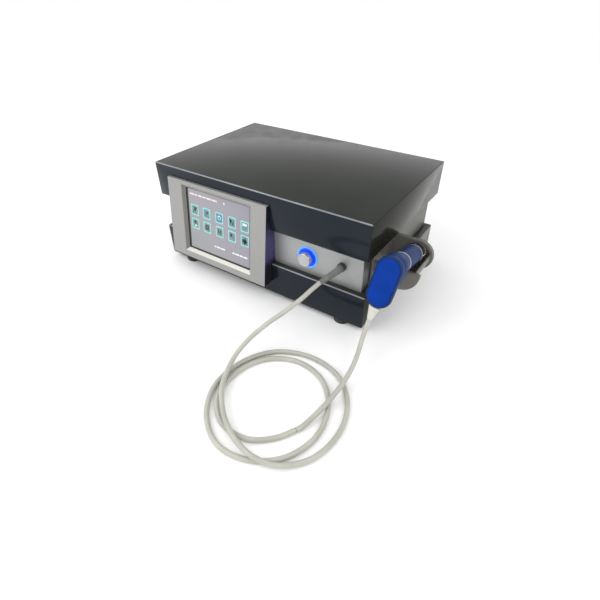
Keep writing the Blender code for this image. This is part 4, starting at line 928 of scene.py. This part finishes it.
def make_symbols():
    bm = bmesh.new()
    for row, v in enumerate(ICON_ROWS):
        for column, u in enumerate(ICON_COLUMNS):
            add_icon(bm, on_image(u, v), row * len(ICON_COLUMNS) + column)
    add_dashes(bm, (0.045, 0.085), (0.070, 0.045, 0.060, 0.050, 0.085, 0.075), 0.0032, 0.010, PINK)
    add_dashes(bm, (0.575, 0.085), (0.022,), 0.0034, 0.01, WHITE)
    add_dashes(bm, (0.415, 0.880), (0.030, 0.050, 0.070), 0.0034, 0.008, WHITE)
    add_dashes(bm, (0.700, 0.880), (0.034, 0.060, 0.050, 0.060), 0.0034, 0.008, WHITE)
    tones = [
        glowing("symbol_mint", (0.42, 0.98, 0.95), 0.12, (0.23, 0.60, 0.57)),
        glowing("symbol_dark", (0.02, 0.05, 0.06), 0.05, (0.015, 0.035, 0.042)),
        glowing("symbol_blue", (0.05, 0.35, 0.62), 0.10, (0.03, 0.20, 0.40)),
        glowing("symbol_rose", (0.55, 0.22, 0.30), 0.06, (0.26, 0.11, 0.15)),
        glowing("symbol_white", (0.92, 0.95, 0.97), 0.12, (0.68, 0.71, 0.74)),
        glowing("symbol_pink", (0.98, 0.80, 0.82), 0.12, (0.72, 0.58, 0.61)),
        glowing("symbol_ground", (0.22, 0.34, 0.36), 0.08, (0.15, 0.25, 0.26)),
    ]
    from_bmesh("screen_symbols", bm, DISPLAY, tones, "console", "screen", weighted=False)


# ---------------- knob, ring, outlet
def make_knob():
    """A turned cap with a shallow groove round it, and a bore for the encoder's shaft."""
    profile = rounded([(0.0, KNOB_FRONT + 0.0004), (0.0095, KNOB_FRONT + 0.0004), (0.0105, KNOB_FRONT),
                     (KNOB_RADIUS - 0.0008, KNOB_FRONT), (KNOB_RADIUS, KNOB_FRONT + 0.0012),
                     (KNOB_RADIUS, KNOB_FRONT + 0.0030), (KNOB_RADIUS - 0.0004, KNOB_FRONT + 0.0034),
                     (KNOB_RADIUS - 0.0004, KNOB_FRONT + 0.0040), (KNOB_RADIUS, KNOB_FRONT + 0.0044),
                     (KNOB_RADIUS, KNOB_BACK), (0.0033, KNOB_BACK), (0.0033, 0.0030), (0.0, 0.0030)],
                      0.0005, 4)
    turned("knob_cap", profile, KNOB_CENTRE, "Y", CONSOLE, KNOB_METAL, "knob", "knob_metal",
           ["control_knob"], sides=96)


def make_light_ring():
    """A bright rim on the band, round a deeper blue floor that runs in under the knob."""
    seat = FRONT_FACE - GAP
    bm = bmesh.new()
    rim = [(LIGHT_RING_RADIUS, seat), (LIGHT_RING_RADIUS, seat - 0.0008),
           (LIGHT_RING_RADIUS - 0.0006, seat - 0.0014), (LIGHT_RING_RADIUS - 0.0018, seat - 0.0014),
           (LIGHT_RING_RADIUS - 0.0024, seat - 0.0008)]
    add_turned(bm, rounded(rim, 0.0004, 3), KNOB_CENTRE, "Y", 96, 0)
    floor = [(LIGHT_RING_RADIUS - 0.0024, seat - 0.0008), (0.0150, seat - 0.0006), (0.0146, seat - 0.0012),
             (0.0080, seat - 0.0012), (0.0080, 0.0190), (0.0150, 0.0190), (0.0150, seat),
             (LIGHT_RING_RADIUS, seat)]
    add_turned(bm, floor, KNOB_CENTRE, "Y", 96, 1)
    bmesh.ops.remove_doubles(bm, verts=bm.verts, dist=1e-7)
    from_bmesh("knob_light_ring", bm, CONSOLE, [RING_BRIGHT, RING_DEEP], "console", "light_guide",
               ["light_ring"])


def make_outlet():
    """The flange on the band, and the tapering sleeve with its grooves where the cord leaves."""
    flange = rounded([(0.0, 0.0052), (0.0069, 0.0052), (0.0080, 0.0062), (0.0080, 0.0127), (0.0060, 0.0127),
                      (0.0060, 0.0300), (0.0, 0.0300)], 0.0007, 4)
    turned("outlet_flange", flange, OUTLET, "Y", CONSOLE, DARK_PLASTIC, "console", "dark_plastic",
           ["cord_gland"])
    path = smooth_line(SLEEVE_ROUTE, 90)
    rings = []
    for i, (point, side, other) in enumerate(frames_along(path)):
        share = i / (len(path) - 1)
        groove = 0.0005 if share < 0.62 and (share * 21.0) % 1.0 > 0.62 else 0.0
        rings.append(tube_ring(point, side, other, 0.0068 - 0.0022 * share - groove, 32))
    bm = bmesh.new()
    add_loft(bm, rings)
    from_bmesh("cord_sleeve_boot", bm, CONSOLE, [SLEEVE_RUBBER], "console", "sleeve_rubber", ["cord_sleeve"])


# ---------------- applicator
def racetrack(radius, drop, along, steps=30):
    """A section across the barrel: a half circle over the barrel's axis and another one below it by drop."""
    points = []
    for i in range(2 * steps):
        turn = math.pi * (i + 0.5) / steps
        lower = drop if i >= steps else 0.0
        points.append((radius * math.cos(turn), along, radius * math.sin(turn) - lower))
    return points


def eased(stations, between):
    """More stations on smooth curves through the given ones."""
    made = []
    count = len(stations)
    for i in range(count - 1):
        p0, p1 = Vector(stations[max(i - 1, 0)]), Vector(stations[i])
        p2, p3 = Vector(stations[i + 1]), Vector(stations[min(i + 2, count - 1)])
        for k in range(between):
            t = k / between
            made.append(0.5 * (2 * p1 + (p2 - p0) * t + (2 * p0 - 5 * p1 + 4 * p2 - p3) * t * t
                               + (3 * p1 - p0 - 3 * p2 + p3) * t ** 3))
    return made + [Vector(stations[-1])]


def turned_with_painted_shade(name, profile, finishes, slot, node, second, closed=False):
    """A turned piece of the handpiece, whose second finish, dark plastic that stands for painted shade,
    covers the faces that second picks.
    """
    bm = bmesh.new()
    add_turned(bm, profile + (profile[:1] if closed else []), (0, 0), "Y", 72)
    bmesh.ops.remove_doubles(bm, verts=bm.verts, dist=1e-7)
    for face in bm.faces:
        middle = face.calc_center_median()
        face.material_index = int(second(middle.y, math.hypot(middle.x, middle.z)))
    from_bmesh(name, bm, APPLICATOR, finishes, "handpiece", slot, [node])


def make_grip():
    """The hollow grip, which narrows from the cap's racetrack to the round of the barrel."""
    outside = [(0.0000, 0.0196, GRIP_DROP), (0.0015, 0.0212, GRIP_DROP), (0.0045, GRIP_RADIUS, GRIP_DROP),
               (0.0085, 0.0220, GRIP_DROP), (0.0112, 0.0206, 0.0455), (0.0125, 0.0200, 0.0400),
               (0.0150, 0.0200, 0.0260), (0.0200, 0.0212, 0.0150), (0.0270, 0.0214, 0.0085),
               (0.0350, 0.0204, 0.0040), (0.0430, 0.0185, 0.0014), (BODY_END - 0.0004, BARREL_RADIUS, 0.0),
               (BODY_END, BARREL_RADIUS - 0.0005, 0.0)]
    rings = [racetrack(radius, drop, along) for along, radius, drop in eased(outside, 4)]
    inside = [(BODY_END, BORE_RADIUS, 0.0), (0.0350, 0.0165, 0.0010), (0.0200, 0.0175, 0.0060),
              (0.0110, 0.0175, 0.0160), (0.0085, 0.0175, 0.0400), (0.0075, 0.0178, GRIP_DROP),
              (0.0025, 0.0178, GRIP_DROP), (0.0025, CAP_RADIUS + GAP, GRIP_DROP),
              (0.0003, CAP_RADIUS + GAP, GRIP_DROP)]
    rings += [racetrack(radius, drop, along) for along, radius, drop in inside]
    bm = bmesh.new()
    add_loft(bm, rings, closed_loop=True)
    from_bmesh("grip_shell", bm, APPLICATOR, [BLUE_GRIP], "handpiece", "blue_grip", ["handpiece_body"])


def make_end_cap():
    cap = [(-0.0008, CAP_RADIUS - 0.0070), (-0.0008, CAP_RADIUS - 0.0022), (-0.0006, CAP_RADIUS - 0.0012),
           (-0.0002, CAP_RADIUS - 0.0004), (0.0004, CAP_RADIUS), (0.0022, CAP_RADIUS)]
    bm = bmesh.new()
    add_loft(bm, [racetrack(radius, GRIP_DROP, along) for along, radius in cap])
    from_bmesh("grip_end_cap", bm, APPLICATOR, [BLUE_CAP], "handpiece", "blue_cap", ["end_cap"])


def make_barrel():
    """The bright seam ring, and behind it the barrel with a shallow groove."""
    ring_start, ring_end = BODY_END + GAP, BODY_END + GAP + 0.0022
    ring = rounded([(BORE_RADIUS, ring_start), (0.0175, ring_start), (0.0175, ring_end),
                    (BORE_RADIUS, ring_end)], 0.0005, 4, closed=True)
    turned("seam_ring_bright", ring, (0, 0), "Y", APPLICATOR, STEEL, "handpiece", "brushed_silver",
           ["seam_ring"], sides=72, closed=True)
    barrel = rounded([(BORE_RADIUS, ring_end + GAP), (BARREL_RADIUS, ring_end + GAP), (BARREL_RADIUS, 0.0560),
                      (BARREL_RADIUS - 0.0003, 0.0564), (BARREL_RADIUS - 0.0003, 0.0570),
                      (BARREL_RADIUS, 0.0574), (BARREL_RADIUS, BARREL_END), (BORE_RADIUS, BARREL_END)],
                     0.0005, 3, closed=True)
    turned("barrel_shell", barrel, (0, 0), "Y", APPLICATOR, BLUE_GRIP, "handpiece", "blue_grip",
           ["handpiece_barrel"], sides=72, closed=True)


def make_nose():
    """The collar, pale where it meets the barrel, and the steel treatment head; past the pale rim the collar,
    and the head's side up to its step, take dark plastic as painted shade.
    """
    collar = rounded([(HEAD_RADIUS + GAP, BARREL_END + GAP), (BARREL_RADIUS, BARREL_END + GAP),
                      (BARREL_RADIUS, COLLAR_END - 0.0015), (0.0150, COLLAR_END),
                      (HEAD_RADIUS + GAP, COLLAR_END)], 0.0006, 3, closed=True)
    # Painted shade: the collar past its pale rim is dark plastic.
    turned_with_painted_shade("nose_collar_ring", collar, [PALE_PLASTIC, DARK_PLASTIC], "pale_plastic", "nose_collar",
             lambda along, away: along > BARREL_END + 0.0016, closed=True)
    head = rounded([(HEAD_BORE, HEAD_START), (HEAD_RADIUS, HEAD_START), (HEAD_RADIUS, HEAD_STEP),
                    (HEAD_RADIUS - 0.0004, 0.1606), (HEAD_RADIUS - 0.0004, 0.1612), (HEAD_RADIUS, 0.1618),
                    (HEAD_RADIUS, TIP - 0.0010), (HEAD_RADIUS - 0.0010, TIP), (0.0, TIP)], 0.0004, 3)
    head += [(0.0, TIP - 0.0020), (HEAD_BORE, TIP - 0.0020), (HEAD_BORE, HEAD_START)]
    # Painted shade: the steel head's side before its step is dark plastic.
    turned_with_painted_shade("treatment_head", head, [STEEL, DARK_PLASTIC], "steel", "transducer_head",
             lambda along, away: along < HEAD_STEP and away > 0.0110)


def make_relief():
    """The sleeve under the grip, wider across the grip, with shallow grooves that let it bend."""
    top = -(GRIP_DROP + 0.0220 + GAP)
    rings = []
    count = 61
    for i in range(count):
        share = i / (count - 1)
        groove = 0.00045 if 0.25 < share < 0.92 and (share * 11.0) % 1.0 > 0.66 else 0.0
        wide = 0.0100 - 0.0052 * share - groove
        deep = 0.0062 - 0.0014 * share - groove
        rings.append([(wide * math.cos(t), GRIP_MIDDLE + deep * math.sin(t), top - RELIEF_LENGTH * share)
                      for t in circle(36)])
    bm = bmesh.new()
    add_loft(bm, rings)
    from_bmesh("relief_boot", bm, APPLICATOR, [PALE_PLASTIC], "handpiece", "pale_plastic",
               ["handpiece_relief"])


# ---------------- rear parts, and CAD nodes kept as they are
def make_rear():
    for node, width in (("power_inlet", 0.0003), ("power_rocker", 0.0004), ("fuse_drawer", 0.0003)):
        refined(node, [DARK_PLASTIC], width=width)


def finish_carried_nodes():
    """Every CAD node that still shows takes the procedural finish of its slot."""
    for node in nodes.values():
        if not node.hide_render:
            slot = node.data.materials[0].name
            node.data.materials[0] = SLOT_FINISH[slot]


make_lead()
make_riser()
make_camera()
make_studio()
make_floor()
make_covers()
make_panels()
make_bezel()
make_holder()
make_screws()
make_feet()
make_glass()
make_symbols()
make_knob()
make_light_ring()
make_outlet()
make_grip()
make_end_cap()
make_barrel()
make_nose()
make_relief()
make_rear()
finish_carried_nodes()
